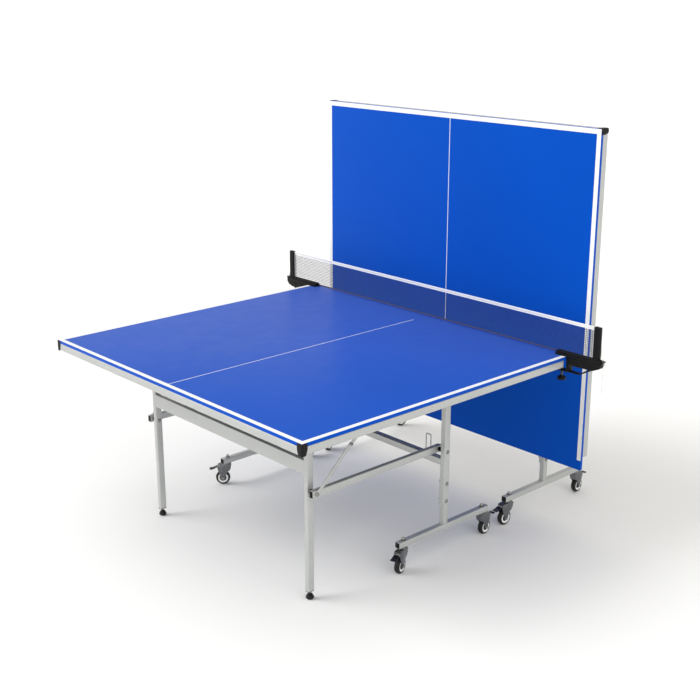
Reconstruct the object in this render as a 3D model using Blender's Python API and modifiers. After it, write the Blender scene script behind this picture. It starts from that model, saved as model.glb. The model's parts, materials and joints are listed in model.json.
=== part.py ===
"""Folding table tennis table on two wheeled trolleys, shown ready for solo play.

The play half lies flat on its legs. The rebound half stands upright behind the net.
Both halves are the same assembly: half B is half A turned round and folded by 90 degrees.

Units are metres, +Z is up. The origin is on the floor, under the middle of the whole
object's box. X runs along the table from the play half to the rebound half.
A half is modelled in its own frame: origin on the floor under the middle of its net edge,
and its outer end at -X.
"""

import math

import bmesh
import bpy
from mathutils import Matrix, Vector

# ---------------------------------------------------------------- driving dimensions
GAP = 0.0003  # clearance that touching solids keep

HALF_LENGTH = 1.370
TABLE_WIDTH = 1.525
PLAY_HEIGHT = 0.760
BOARD_THICKNESS = 0.0125
BOARD_CORNER = 0.0045

APRON_HEIGHT = 0.029
APRON_DEPTH = 0.020
APRON_SETBACK = 0.055  # the side rails stop this far from the net edge
STRAP_THICKNESS = 0.003
STRAP_WIDTH = 0.040
LUG_THICKNESS = 0.003

PROTECTOR_PROUD = 0.0015
PROTECTOR_WALL = 0.0012
PROTECTOR_LENGTH = 0.0235
PROTECTOR_BOTTOM = 0.0020

FOLD_PIVOT_X = -0.480
FOLD_PIVOT_DROP = 0.0355  # below the playing surface
LEG_PIVOT_X = -1.100
LINK_DROP = 0.298  # the link bars' pivots lie this far under the top's pivots

POST_Y = 0.550
POST_SIZE = (0.028, 0.024)
LOWER_POST_SIZE = (0.024, 0.024)
SPLICE_LOW = 0.209
SPLICE_HIGH = 0.315
SPLICE_PLATE = 0.0035
BAR_SIZE = 0.025
BAR_LENGTH = 0.504
BAR_BOTTOM = 0.1015
BEAM_SIZE = (0.030, 0.025)
BEAM_Z = 0.383
TUBE_RADIUS = 0.003
PIVOT_REACH = 0.012  # posts and legs end this far above their top pivot

LEG_Y = 0.474
LEG_SIZE = (0.028, 0.020)
LEG_BOTTOM = 0.031
FOOT_STEM_RADIUS = 0.004
FOOT_STEM_TOP = 0.056
FOOT_BORE_RADIUS = 0.00475
FOOT_BORE_TOP = 0.067
CROSS_TUBE_DEPTH = 0.020
CROSS_TUBE_LOW = 0.488
CROSS_TUBE_HIGH = 0.541

LINK_Y = 0.508
LINK_SIZE = (0.028, 0.020)
LINK_OVERHANG_POST = 0.014
LINK_OVERHANG_LEG = 0.019
BOSS_RADIUS = 0.008

STAY_WIDTH = 0.014
STAY_THICKNESS = 0.003
STAY_PIVOT_X = -0.7907
STAY_PIVOT_DROP = 0.011  # below the top's pivots
STAY_LOWER_Y = 0.520
STAY_UPPER_Y = 0.5235

CATCH_Y = 0.4615
CATCH_WIDTH = 0.029
CATCH_TOP = 0.474
CATCH_WIRE = 0.004

CASTER_OFFSET = 0.2215  # from the post to each caster's stem
CASTER_TRAIL = 0.0225
WHEEL_RADIUS = 0.032
WHEEL_WIDTH = 0.024
FORK_TOP = BAR_BOTTOM - GAP
FORK_WIDTH = 0.032
FORK_SLOT = 0.0262
FORK_WEB = 0.0045
BOSS_END = 0.011
PEDAL_PIVOT = (0.044, 0.0855)
PEDAL_REACH = 0.082
PEDAL_WIDTH = 0.022
PEDAL_THICKNESS = 0.0025

NET_X = -0.026
NET_TOP = 0.9016
NET_BOTTOM = 0.768
NET_THICKNESS = 0.003
NET_HALF_SPAN = 0.877
NET_NOTCH_Y = 0.704

CLAMP_SCREW_Y = 0.735
CLAMP_POST_Y = 0.892
CLAMP_POST_SIZE = (0.018, 0.029)
CLAMP_POST_TOP = 0.9030
CLAMP_ARM_WIDTH = 0.036
CLAMP_ARM_TOP = 0.7762
CLAMP_ARM_INNER = 0.711
CLAMP_BODY_WIDTH = 0.028
CLAMP_STRAP_WIDTH = 0.020
CLAMP_WEB = 0.012
JAW_LOW = 0.698
JAW_HIGH = 0.7035
SCREW_RADIUS = 0.005
KNOB_RADIUS = 0.018
CLAMP_PAD_HEIGHT = 0.003
CLAMP_PAD_RADIUS = 0.009
CLAMP_SCREW_END = 0.680
CLAMP_ARM_STEP = (0.006, 0.008)
CLAMP_ARM_END = 0.916
# Outlines of the bracket, as (distance from the table's middle, height): the arm's outer end
# and underside, the lower strap's outer run and back, and one horn of the cord's cleat.
CLAMP_ARM_OUTER = (
    (0.9190, 0.7720),
    (0.9200, 0.7540),
    (0.9120, 0.7420),
    (0.8860, 0.7310),
    (0.8000, 0.7285),
)
CLAMP_STRAP_OUTER = (
    (0.8220, 0.6985),
    (0.8740, 0.7260),
    (0.8740, 0.7315),
    (0.8680, 0.7315),
    (0.8205, 0.7030),
)
CLEAT_HORN_X, CLEAT_HORN_WIDTH = 0.0065, 0.007
CLEAT_HORN = ((0.9120, 0.7640), (0.9280, 0.7700), (0.9290, 0.7745), (0.9120, 0.7735))
# The knob's side view, as (radius, height), from its neck to its lower face.
CLAMP_KNOB = (
    (0.0080, 0.6790),
    (0.0105, 0.6750),
    (0.0160, 0.6740),
    (KNOB_RADIUS, 0.6715),
    (KNOB_RADIUS, 0.6600),
    (0.0160, 0.6575),
    (0.0, 0.6575),
)

CORD_DIAMETER = 0.002
CORD_END = 0.649

# Where the rebound half stands, and how each half is folded.
POST_TO_POST = 0.6125
FOLD = {"play": 0.0, "rebound": 90.0}
# Direction in which each caster trails, in degrees about its stem, in the half's frame.
TRAIL_DIRECTION = {
    ("play", "outer", "left"): 142.0,
    ("play", "outer", "right"): 197.0,
    ("play", "inner", "left"): -14.0,
    ("play", "inner", "right"): 5.0,
    ("rebound", "outer", "left"): 185.0,
    ("rebound", "outer", "right"): 163.0,
    ("rebound", "inner", "left"): -5.0,
    ("rebound", "inner", "right"): 12.0,
}

# ---------------------------------------------------------------- derived dimensions
BOARD_UNDER = PLAY_HEIGHT - BOARD_THICKNESS
APRON_TOP = BOARD_UNDER - GAP
APRON_UNDER = BOARD_UNDER - APRON_HEIGHT
PIVOT_Z = PLAY_HEIGHT - FOLD_PIVOT_DROP
LINK_Z = PIVOT_Z - LINK_DROP
# A stay is straight when the half is flat. Folded, its lower arm lies parallel to the board.
STAY_SPAN = math.hypot(STAY_PIVOT_X - LEG_PIVOT_X, LINK_DROP - STAY_PIVOT_DROP)
STAY_FOLDED_X = STAY_PIVOT_X - LEG_PIVOT_X - LINK_DROP
STAY_LOWER_LENGTH = (STAY_SPAN**2 - STAY_FOLDED_X**2 - STAY_PIVOT_DROP**2) / (
    2 * (STAY_SPAN - STAY_FOLDED_X)
)
STAY_UPPER_LENGTH = STAY_SPAN - STAY_LOWER_LENGTH
BAR_TOP = BAR_BOTTOM + BAR_SIZE
FLAT_REACH = HALF_LENGTH + PROTECTOR_PROUD
# The rebound half reaches furthest at a corner of its left outer caster's pedal.
UPRIGHT_POST_X = FOLD_PIVOT_X + POST_TO_POST
PEDAL_SLANT = math.radians(TRAIL_DIRECTION["rebound", "outer", "left"] - 180.0)
PEDAL_FAR = PEDAL_REACH * math.cos(PEDAL_SLANT) + PEDAL_WIDTH / 2 * math.sin(PEDAL_SLANT)
UPRIGHT_REACH = UPRIGHT_POST_X + CASTER_OFFSET + PEDAL_FAR
NET_EDGE_X = (FLAT_REACH - UPRIGHT_REACH) / 2
HALF_ROOT = {
    "play": (NET_EDGE_X, 0.0),
    "rebound": (NET_EDGE_X + UPRIGHT_POST_X + FOLD_PIVOT_X, 180.0),
}

# name: (colour, roughness, metallic)
MATERIALS = {
    "playing_blue": ((0.020, 0.105, 0.560), 0.38, 0.0),
    "silver_steel": ((0.520, 0.530, 0.520), 0.42, 0.55),
    "zinc_steel": ((0.350, 0.350, 0.350), 0.35, 0.85),
    "black_plastic": ((0.020, 0.020, 0.022), 0.50, 0.0),
    "tyre_rubber": ((0.025, 0.025, 0.025), 0.70, 0.0),
    "net_fabric": ((0.040, 0.060, 0.200), 0.85, 0.0),
    "cord_grey": ((0.640, 0.640, 0.630), 0.80, 0.0),
}


# ---------------------------------------------------------------- helpers
def clear_scene():
    for obj in list(bpy.data.objects):
        bpy.data.objects.remove(obj, do_unlink=True)


def make_material(name):
    colour, roughness, metallic = MATERIALS[name]
    material = bpy.data.materials.new(name)
    material.use_nodes = True
    shader = material.node_tree.nodes["Principled BSDF"]
    shader.inputs["Base Color"].default_value = (*colour, 1.0)
    shader.inputs["Roughness"].default_value = roughness
    shader.inputs["Metallic"].default_value = metallic
    return material


def make_collection(name):
    collection = bpy.data.collections.new(name)
    bpy.context.scene.collection.children.link(collection)
    return collection


clear_scene()
PARTS = make_collection("table_tennis_table")
CUTTERS = make_collection("cutters")
LOOKS = {name: make_material(name) for name in MATERIALS}


def add_object(name, data, look, parent=None, location=(0, 0, 0), rotation=(0, 0, 0)):
    """Puts an object in the parts collection. Rotation is in degrees."""
    obj = bpy.data.objects.new(name, data)
    PARTS.objects.link(obj)
    if data is not None and not data.materials:
        data.materials.append(LOOKS[look])
    obj.parent = parent
    obj.location = location
    obj.rotation_euler = [math.radians(angle) for angle in rotation]
    return obj


def add_empty(name, parent=None, location=(0, 0, 0), rotation=(0, 0, 0)):
    return add_object(name, None, None, parent, location, rotation)


def mesh_from(bm, name):
    mesh = bpy.data.meshes.new(name)
    bm.to_mesh(mesh)
    bm.free()
    return mesh


def box_bmesh(low, high):
    bm = bmesh.new()
    bmesh.ops.create_cube(bm, size=1.0)
    size = Vector(high) - Vector(low)
    bmesh.ops.scale(bm, vec=size, verts=bm.verts)
    bmesh.ops.translate(bm, vec=(Vector(low) + Vector(high)) / 2, verts=bm.verts)
    return bm


def bevel_edges(bm, axis, radius, segments=2, keep=lambda middle: True):
    """Rounds the edges that run along the axis (0, 1 or 2) and whose middle point passes keep."""
    edges = []
    for edge in bm.edges:
        direction = edge.verts[1].co - edge.verts[0].co
        middle = (edge.verts[0].co + edge.verts[1].co) / 2
        if abs(direction[axis]) > 0.999 * direction.length and keep(middle):
            edges.append(edge)
    bmesh.ops.bevel(bm, geom=edges, offset=radius, segments=segments, profile=0.5, affect="EDGES")


def box(name, low, high):
    return mesh_from(box_bmesh(low, high), name)


def tube_box(name, low, high, axis, radius=TUBE_RADIUS):
    """A bar with its four long edges rounded. The axis is the direction of its length."""
    bm = box_bmesh(low, high)
    bevel_edges(bm, axis, radius)
    return mesh_from(bm, name)


def arc(centre, radius, start, end, steps):
    """Points on an arc from the start angle to the end angle, in degrees."""
    points = []
    for step in range(steps + 1):
        angle = math.radians(start + (end - start) * step / steps)
        points.append((centre[0] + radius * math.cos(angle), centre[1] + radius * math.sin(angle)))
    return points


def welded_mesh(curve):
    """The closed mesh of a curve, whose loose caps are welded on."""
    holder = bpy.data.objects.new(curve.name, curve)
    CUTTERS.objects.link(holder)
    graph = bpy.context.evaluated_depsgraph_get()
    mesh = bpy.data.meshes.new_from_object(holder.evaluated_get(graph))
    mesh.name = curve.name
    bpy.data.objects.remove(holder)
    bm = bmesh.new()
    bm.from_mesh(mesh)
    bmesh.ops.remove_doubles(bm, verts=bm.verts, dist=0.00001)
    bmesh.ops.recalc_face_normals(bm, faces=bm.faces)
    bm.to_mesh(mesh)
    bm.free()
    return mesh


def wire_curve(name, points, radius, resolution=2):
    """A round wire through the points, with capped ends."""
    curve = bpy.data.curves.new(name, "CURVE")
    curve.dimensions = "3D"
    curve.bevel_depth = radius
    curve.bevel_resolution = resolution
    curve.use_fill_caps = True
    spline = curve.splines.new("POLY")
    spline.points.add(len(points) - 1)
    for point, place in zip(spline.points, points):
        point.co = (*place, 1.0)
    return curve


def outline_mesh(name, points, thickness):
    """A flat outline in the XY plane, thick along Z, as a closed mesh."""
    curve = bpy.data.curves.new(name, "CURVE")
    curve.dimensions = "2D"
    curve.fill_mode = "BOTH"
    curve.extrude = thickness / 2
    spline = curve.splines.new("POLY")
    spline.points.add(len(points) - 1)
    for point, place in zip(spline.points, points):
        point.co = (*place, 0.0, 1.0)
    spline.use_cyclic_u = True
    return welded_mesh(curve)


def upright_outline(name, points, thickness, middle=0.0):
    """An outline drawn in X and Z, thick along Y and centred on the plane Y = middle."""
    mesh = outline_mesh(name, points, thickness)
    mesh.transform(Matrix.Translation((0, middle, 0)) @ Matrix.Rotation(math.pi / 2, 4, "X"))
    return mesh


def cross_outline(name, points, thickness, middle=0.0):
    """An outline drawn in Y and Z, thick along X and centred on the plane X = middle."""
    mesh = outline_mesh(name, points, thickness)
    turn = Matrix(((0, 0, 1, middle), (1, 0, 0, 0), (0, 1, 0, 0), (0, 0, 0, 1)))
    mesh.transform(turn)
    return mesh


def turned_mesh(name, profile, steps):
    """A turned solid about Z. The profile holds (radius, height) and runs from top to bottom."""
    mesh = bpy.data.meshes.new(name)
    edges = [(index, index + 1) for index in range(len(profile) - 1)]
    mesh.from_pydata([(radius, 0.0, height) for radius, height in profile], edges, [])
    holder = bpy.data.objects.new(name, mesh)
    CUTTERS.objects.link(holder)
    screw = holder.modifiers.new("turn", "SCREW")
    screw.steps = steps
    screw.render_steps = steps
    screw.use_merge_vertices = True
    screw.merge_threshold = 0.0001
    graph = bpy.context.evaluated_depsgraph_get()
    turned = bpy.data.meshes.new_from_object(holder.evaluated_get(graph))
    bpy.data.objects.remove(holder)
    turned.name = name
    return turned


def cylinder(name, start, end, radius, sides=12):
    """A round bar between two points."""
    bm = bmesh.new()
    direction = Vector(end) - Vector(start)
    bmesh.ops.create_cone(
        bm, cap_ends=True, segments=sides, radius1=radius, radius2=radius, depth=direction.length
    )
    turn = direction.to_track_quat("Z", "Y").to_matrix().to_4x4()
    middle = Matrix.Translation((Vector(start) + Vector(end)) / 2)
    bmesh.ops.transform(bm, matrix=middle @ turn, verts=bm.verts)
    return mesh_from(bm, name)


def wire_mesh(name, points, radius, resolution=2):
    """A round wire as a closed mesh that can be joined."""
    return welded_mesh(wire_curve(name, points, radius, resolution))


def boolean(target, mesh, operation):
    """Joins the mesh to the target, or cuts it away. It is drawn in the target's own frame."""
    helper = bpy.data.objects.new(target.name + "_" + operation.lower(), mesh)
    CUTTERS.objects.link(helper)
    helper.parent = target
    helper.hide_render = True
    helper.display_type = "WIRE"
    modifier = target.modifiers.new(operation.lower(), "BOOLEAN")
    modifier.operation = operation
    modifier.solver = "EXACT"
    modifier.object = helper


def join(target, *meshes):
    for mesh in meshes:
        boolean(target, mesh, "UNION")


def cut(target, *meshes):
    for mesh in meshes:
        boolean(target, mesh, "DIFFERENCE")


def smooth(obj):
    obj.data.shade_smooth()
    obj.data.set_sharp_from_angle(angle=math.radians(35))


# ---------------------------------------------------------------- the top of one half
def build_board(half, top):
    """The playing board. Positions are relative to the fold pivot."""
    low = (-HALF_LENGTH - FOLD_PIVOT_X, -TABLE_WIDTH / 2, BOARD_UNDER - PIVOT_Z)
    high = (-FOLD_PIVOT_X, TABLE_WIDTH / 2, PLAY_HEIGHT - PIVOT_Z)
    bm = box_bmesh(low, high)
    bevel_edges(bm, 2, BOARD_CORNER, 3)
    add_object(half + "_board", mesh_from(bm, "board"), "playing_blue", top)


def lug(x, y, drop, name):
    """A pivot lug: a plate across Y that hangs from a strap and ends round under its pivot."""
    radius = 0.011
    points = [(x - radius, APRON_TOP - 0.001), (x - radius, drop)]
    points += arc((x, drop), radius, 180, 360, 6)[1:]
    points.append((x + radius, APRON_TOP - 0.001))
    return upright_outline(name, points, LUG_THICKNESS, y)


def build_apron(half, top):
    """The steel rails under the board, with the straps and lugs that carry the pivots."""
    side = TABLE_WIDTH / 2
    end_x = -HALF_LENGTH
    bm = box_bmesh((end_x, -side, APRON_UNDER), (end_x + APRON_DEPTH, side, APRON_TOP))
    bevel_edges(bm, 2, BOARD_CORNER, 3, lambda middle: middle.x < end_x + 0.001)
    apron = add_object(half + "_apron", mesh_from(bm, "apron"), "silver_steel", top)
    pieces = []
    for sign in (-1, 1):
        rail = sorted((sign * side, sign * (side - APRON_DEPTH)))
        pieces.append(
            box("side_rail", (end_x + 0.01, rail[0], APRON_UNDER), (-APRON_SETBACK, rail[1], APRON_TOP))
        )
    strap_reach = side - APRON_DEPTH / 2
    strap_low = APRON_TOP - STRAP_THICKNESS
    for x in (FOLD_PIVOT_X, LEG_PIVOT_X):
        low = (x - STRAP_WIDTH / 2, -strap_reach, strap_low)
        high = (x + STRAP_WIDTH / 2, strap_reach, APRON_TOP - 0.0001)
        pieces.append(box("cross_strap", low, high))
    for sign in (-1, 1):
        ends = sorted((sign * (STAY_UPPER_Y - 0.004), sign * strap_reach))
        low = (STAY_PIVOT_X - STRAP_WIDTH / 2, ends[0], strap_low)
        high = (STAY_PIVOT_X + STRAP_WIDTH / 2, ends[1], APRON_TOP - 0.0001)
        pieces.append(box("stay_strap", low, high))
        post_side = POST_SIZE[1] / 2 + GAP + LUG_THICKNESS / 2
        leg_side = LEG_SIZE[1] / 2 + GAP + LUG_THICKNESS / 2
        stay_side = STAY_THICKNESS / 2 + GAP + LUG_THICKNESS / 2
        for y in (POST_Y - post_side, POST_Y + post_side):
            pieces.append(lug(FOLD_PIVOT_X, sign * y, PIVOT_Z, "fold_lug"))
        for y in (LEG_Y - leg_side, LEG_Y + leg_side):
            pieces.append(lug(LEG_PIVOT_X, sign * y, PIVOT_Z, "leg_lug"))
        stay_y = sign * (STAY_UPPER_Y + stay_side)
        pieces.append(lug(STAY_PIVOT_X, stay_y, PIVOT_Z - STAY_PIVOT_DROP, "stay_lug"))
    join(apron, *pieces)
    shift = Matrix.Translation((-FOLD_PIVOT_X, 0, -PIVOT_Z))
    for mesh in (apron.data, *pieces):
        mesh.transform(shift)


def build_corners(half, top):
    """The black caps on the two outer corners: two walls and a floor round the apron."""
    side = TABLE_WIDTH / 2
    low_z = APRON_UNDER - GAP - PROTECTOR_BOTTOM
    high_z = PLAY_HEIGHT - GAP
    for name, sign in (("left", 1), ("right", -1)):
        outer = sign * (side + PROTECTOR_PROUD)
        inner = sign * (side + PROTECTOR_PROUD - PROTECTOR_LENGTH)
        spread = sorted((outer, inner))
        x_low = -HALF_LENGTH - PROTECTOR_PROUD
        bm = box_bmesh((x_low, spread[0], low_z), (x_low + PROTECTOR_LENGTH, spread[1], high_z))
        round_radius = BOARD_CORNER + PROTECTOR_PROUD
        bevel_edges(bm, 2, round_radius, 3, lambda m: m.x < x_low + 0.001 and m.y * sign > side)
        cap = add_object(f"{half}_corner_{name}", mesh_from(bm, "corner"), "black_plastic", top)
        room = PROTECTOR_WALL
        far = sorted((outer - sign * room, inner - sign * 0.01))
        cutter_low = (x_low + room, far[0], low_z + PROTECTOR_BOTTOM)
        cutter_high = (x_low + PROTECTOR_LENGTH + 0.01, far[1], high_z + 0.01)
        cut_bm = box_bmesh(cutter_low, cutter_high)
        bevel_edges(
            cut_bm, 2, round_radius - room, 3, lambda m: m.x < x_low + 0.005 and m.y * sign > side
        )
        cutter = mesh_from(cut_bm, "corner_room")
        cut(cap, cutter)
        shift = Matrix.Translation((-FOLD_PIVOT_X, 0, -PIVOT_Z))
        cap.data.transform(shift)
        cutter.transform(shift)


# ---------------------------------------------------------------- legs, links and stays
def build_leg_frame(half, pivot):
    """Two legs joined by a wide cross tube. Positions are relative to the leg pivot."""
    half_x = LEG_SIZE[0] / 2
    half_y = LEG_SIZE[1] / 2
    bottom = LEG_BOTTOM - PIVOT_Z
    legs = []
    for sign in (-1, 1):
        middle = sign * LEG_Y
        low = (-half_x, middle - half_y, bottom)
        high = (half_x, middle + half_y, PIVOT_REACH)
        bm = box_bmesh(low, high)
        bevel_edges(bm, 2, TUBE_RADIUS)
        bevel_edges(bm, 1, 0.005, 2, lambda m: m.z > 0 and abs(m.x) > half_x - 0.001)
        legs.append(mesh_from(bm, "leg"))
    frame = add_object(half + "_leg_frame", legs[0], "silver_steel", pivot)
    front = -half_x + 0.0005
    cross = tube_box(
        "cross_tube",
        (front, -LEG_Y, CROSS_TUBE_LOW - PIVOT_Z),
        (front + CROSS_TUBE_DEPTH, LEG_Y, CROSS_TUBE_HIGH - PIVOT_Z),
        1,
        0.002,
    )
    boss_end = LINK_Y - LINK_SIZE[1] / 2 - GAP
    bosses = []
    for sign in (-1, 1):
        start = (0, sign * (LEG_Y + half_y - 0.003), -LINK_DROP)
        end = (0, sign * boss_end, -LINK_DROP)
        bosses.append(cylinder("link_boss", start, end, BOSS_RADIUS))
    join(frame, cross, legs[1], *bosses)
    for sign in (-1, 1):
        start = (0, sign * LEG_Y, bottom - 0.01)
        end = (0, sign * LEG_Y, FOOT_BORE_TOP - PIVOT_Z)
        cut(frame, cylinder("foot_bore", start, end, FOOT_BORE_RADIUS, 14))


def build_feet(half, pivot):
    """Threaded levelling feet. The origin of each is on the floor, on the stem's axis."""
    stem = FOOT_STEM_RADIUS
    profile = [(0.0, FOOT_STEM_TOP), (stem, FOOT_STEM_TOP), (stem, 0.0225), (0.0065, 0.0220)]
    profile += [(0.0105, 0.0190)]
    profile += [(0.0065 + x, 0.0085 + z) for x, z in arc((0, 0), 0.0085, 60, -60, 4)]
    profile += [(0.0085, 0.0), (0.0, 0.0)]
    mesh = turned_mesh("foot", profile, 14)
    for name, sign in (("left", 1), ("right", -1)):
        foot = add_object(
            f"{half}_foot_{name}", mesh, "black_plastic", pivot, (0, sign * LEG_Y, -PIVOT_Z)
        )
        smooth(foot)


def strip_points(length, width):
    """The outline of a flat bar with round ends, from its pivot at 0 to its pivot at length."""
    radius = width / 2
    return arc((0, 0), radius, 90, 270, 6) + arc((length, 0), radius, -90, 90, 6)


def build_links(half, fold, root):
    """The square bars from the posts to the legs, each with its origin on the post pivot."""
    length = FOLD_PIVOT_X - LEG_PIVOT_X
    half_z = LINK_SIZE[0] / 2
    half_y = LINK_SIZE[1] / 2
    mesh = tube_box(
        "link_bar",
        (-length - LINK_OVERHANG_LEG, -half_y, -half_z),
        (LINK_OVERHANG_POST, half_y, half_z),
        0,
    )
    for name, sign in (("left", 1), ("right", -1)):
        place = (FOLD_PIVOT_X, sign * LINK_Y, LINK_Z)
        add_object(f"{half}_link_bar_{name}", mesh, "silver_steel", root, place, (0, fold, 0))


def stay_angles(fold):
    """Directions of the upper and the lower stay arm in the top's frame, in degrees from +X.

    Each arm turns in proportion to the fold, and both are exact at its two ends.
    """
    rise, run = LINK_DROP - STAY_PIVOT_DROP, STAY_PIVOT_X - LEG_PIVOT_X
    straight = math.degrees(math.atan2(rise, run))
    tucked = math.degrees(math.atan2(STAY_PIVOT_DROP, STAY_LOWER_LENGTH - STAY_FOLDED_X))
    share = fold / 90.0
    upper_angle = 180.0 + straight + (180.0 + tucked - straight) * share
    lower_angle = straight * (1.0 - share)
    return upper_angle, lower_angle


def build_stays(half, fold, top, leg):
    """The folding stays that lock the legs: an arm on the top and an arm on each leg."""
    upper_angle, lower_angle = stay_angles(fold)
    upper_mesh = upright_outline(
        "stay_upper", strip_points(STAY_UPPER_LENGTH, STAY_WIDTH), STAY_THICKNESS
    )
    lower_mesh = upright_outline(
        "stay_lower", strip_points(STAY_LOWER_LENGTH, STAY_WIDTH), STAY_THICKNESS
    )
    for name, sign in (("left", 1), ("right", -1)):
        place = (STAY_PIVOT_X - FOLD_PIVOT_X, sign * STAY_UPPER_Y, -STAY_PIVOT_DROP)
        turn = (0, -upper_angle, 0)
        add_object(f"{half}_stay_upper_{name}", upper_mesh, "silver_steel", top, place, turn)
        place = (0, sign * STAY_LOWER_Y, -LINK_DROP)
        turn = (0, fold - lower_angle, 0)
        add_object(f"{half}_stay_lower_{name}", lower_mesh, "silver_steel", leg, place, turn)


# ---------------------------------------------------------------- the trolley of one half
def build_undercarriage(half, root):
    """Posts, cross beam and caster bars, with the wire catches that stand on the beam."""
    post_x = FOLD_PIVOT_X
    beam_x = BEAM_SIZE[0] / 2
    beam_z = BEAM_SIZE[1] / 2
    beam = tube_box(
        "beam",
        (post_x - beam_x, -POST_Y, BEAM_Z - beam_z),
        (post_x + beam_x, POST_Y, BEAM_Z + beam_z),
        1,
    )
    frame = add_object(half + "_undercarriage", beam, "silver_steel", root)
    pieces = []
    for sign in (-1, 1):
        middle = sign * POST_Y
        half_x, half_y = POST_SIZE[0] / 2, POST_SIZE[1] / 2
        low = (post_x - half_x, middle - half_y, SPLICE_LOW)
        high = (post_x + half_x, middle + half_y, PIVOT_Z + PIVOT_REACH)
        bm = box_bmesh(low, high)
        bevel_edges(bm, 2, TUBE_RADIUS)
        corner = half_x - 0.001
        bevel_edges(bm, 1, 0.005, 2, lambda m: m.z > PIVOT_Z and abs(m.x - post_x) > corner)
        pieces.append(mesh_from(bm, "post"))
        half_x, half_y = LOWER_POST_SIZE[0] / 2, LOWER_POST_SIZE[1] / 2
        low = (post_x - half_x + 0.0005, middle - half_y + 0.0005, BAR_TOP - 0.005)
        high = (post_x + half_x - 0.0005, middle + half_y - 0.0005, SPLICE_LOW + 0.02)
        pieces.append(tube_box("lower_post", low, high, 2))
        inner = sign * (POST_Y - POST_SIZE[1] / 2)
        plate = sorted((inner - sign * SPLICE_PLATE, inner + sign * 0.002))
        low = (post_x - 0.0125, plate[0], SPLICE_LOW - 0.006)
        high = (post_x + 0.0125, plate[1], SPLICE_HIGH)
        pieces.append(box("splice_plate", low, high))
        half_bar = BAR_SIZE / 2
        low = (post_x - BAR_LENGTH / 2, middle - half_bar, BAR_BOTTOM)
        high = (post_x + BAR_LENGTH / 2, middle + half_bar, BAR_TOP)
        pieces.append(tube_box("caster_bar", low, high, 0))
        boss_end = sign * (LINK_Y + LINK_SIZE[1] / 2 + GAP)
        start = (post_x, inner + sign * 0.003, LINK_Z)
        pieces.append(cylinder("link_boss", start, (post_x, boss_end, LINK_Z), BOSS_RADIUS))
        pieces.append(catch_wire(post_x, sign))
    join(frame, *pieces)


def catch_wire(x, sign):
    """The wire loop of a catch. Both feet stand in the cross beam."""
    left = sign * CATCH_Y - CATCH_WIDTH / 2 + CATCH_WIRE / 2
    right = sign * CATCH_Y + CATCH_WIDTH / 2 - CATCH_WIRE / 2
    foot = BEAM_Z
    bend = 0.006
    centre_z = CATCH_TOP - CATCH_WIRE / 2 - bend
    flat = [(left, foot)]
    flat += arc((left + bend, centre_z), bend, 180, 90, 3)
    flat += arc((right - bend, centre_z), bend, 90, 0, 3)
    flat.append((right, foot))
    return wire_mesh("catch", [(x, y, z) for y, z in flat], CATCH_WIRE / 2, 1)


def fork_mesh():
    """The pressed caster housing, in the caster's frame: stem on Z, trail along +X."""
    axle = (CASTER_TRAIL, WHEEL_RADIUS)
    points = [(-0.0165, FORK_TOP), (0.0340, FORK_TOP), (0.0450, 0.0900), (0.0500, 0.0680)]
    points += arc(axle, BOSS_END, 15, -195, 9)
    points += [(-0.0030, 0.0580), (-0.0165, 0.0850)]
    return upright_outline("fork", points, FORK_WIDTH)


def pedal_mesh():
    """The brake pedal, with its origin on its hinge."""
    middle = [(0.0300, 0.0880), (0.0440, 0.0855), (0.0600, 0.0780), (0.0730, 0.0735)]
    middle.append((PEDAL_REACH, 0.0750))
    upper = [(x, z + PEDAL_THICKNESS / 2) for x, z in middle]
    lower = [(x, z - PEDAL_THICKNESS / 2) for x, z in reversed(middle)]
    points = [(x - PEDAL_PIVOT[0], z - PEDAL_PIVOT[1]) for x, z in upper + lower]
    return upright_outline("pedal", points, PEDAL_WIDTH)


def wheel_mesh():
    half = WHEEL_WIDTH / 2
    shoulder = [(0.0260, half), (0.0305, half - 0.003), (WHEEL_RADIUS, half - 0.008)]
    mirrored = [(radius, -height) for radius, height in reversed(shoulder)]
    mesh = turned_mesh("wheel", [(0.0, half)] + shoulder + mirrored + [(0.0, -half)], 24)
    mesh.transform(Matrix.Rotation(math.pi / 2, 4, "X"))
    return mesh


def build_casters(half, root):
    """Four swivel casters, each with its housing, its wheel and its brake pedal."""
    fork, pedal, wheel = fork_mesh(), pedal_mesh(), wheel_mesh()
    room_low = (-0.03, -FORK_SLOT / 2, -0.01)
    room_high = (0.07, FORK_SLOT / 2, FORK_TOP - FORK_WEB)
    room = box("wheel_room", room_low, room_high)
    for end, end_sign in (("outer", -1), ("inner", 1)):
        for side, side_sign in (("left", 1), ("right", -1)):
            tag = f"{half}_{end}_{side}"
            place = (FOLD_PIVOT_X + end_sign * CASTER_OFFSET, side_sign * POST_Y, 0)
            turn = (0, 0, TRAIL_DIRECTION[half, end, side])
            housing = add_object(f"{tag}_caster_fork", fork, "zinc_steel", root, place, turn)
            cut(housing, room)
            axle = (CASTER_TRAIL, 0, WHEEL_RADIUS)
            tyre = add_object(f"{tag}_caster_wheel", wheel, "tyre_rubber", housing, axle)
            smooth(tyre)
            hinge = (PEDAL_PIVOT[0], 0, PEDAL_PIVOT[1])
            add_object(f"{tag}_brake_pedal", pedal, "black_plastic", housing, hinge)


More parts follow.
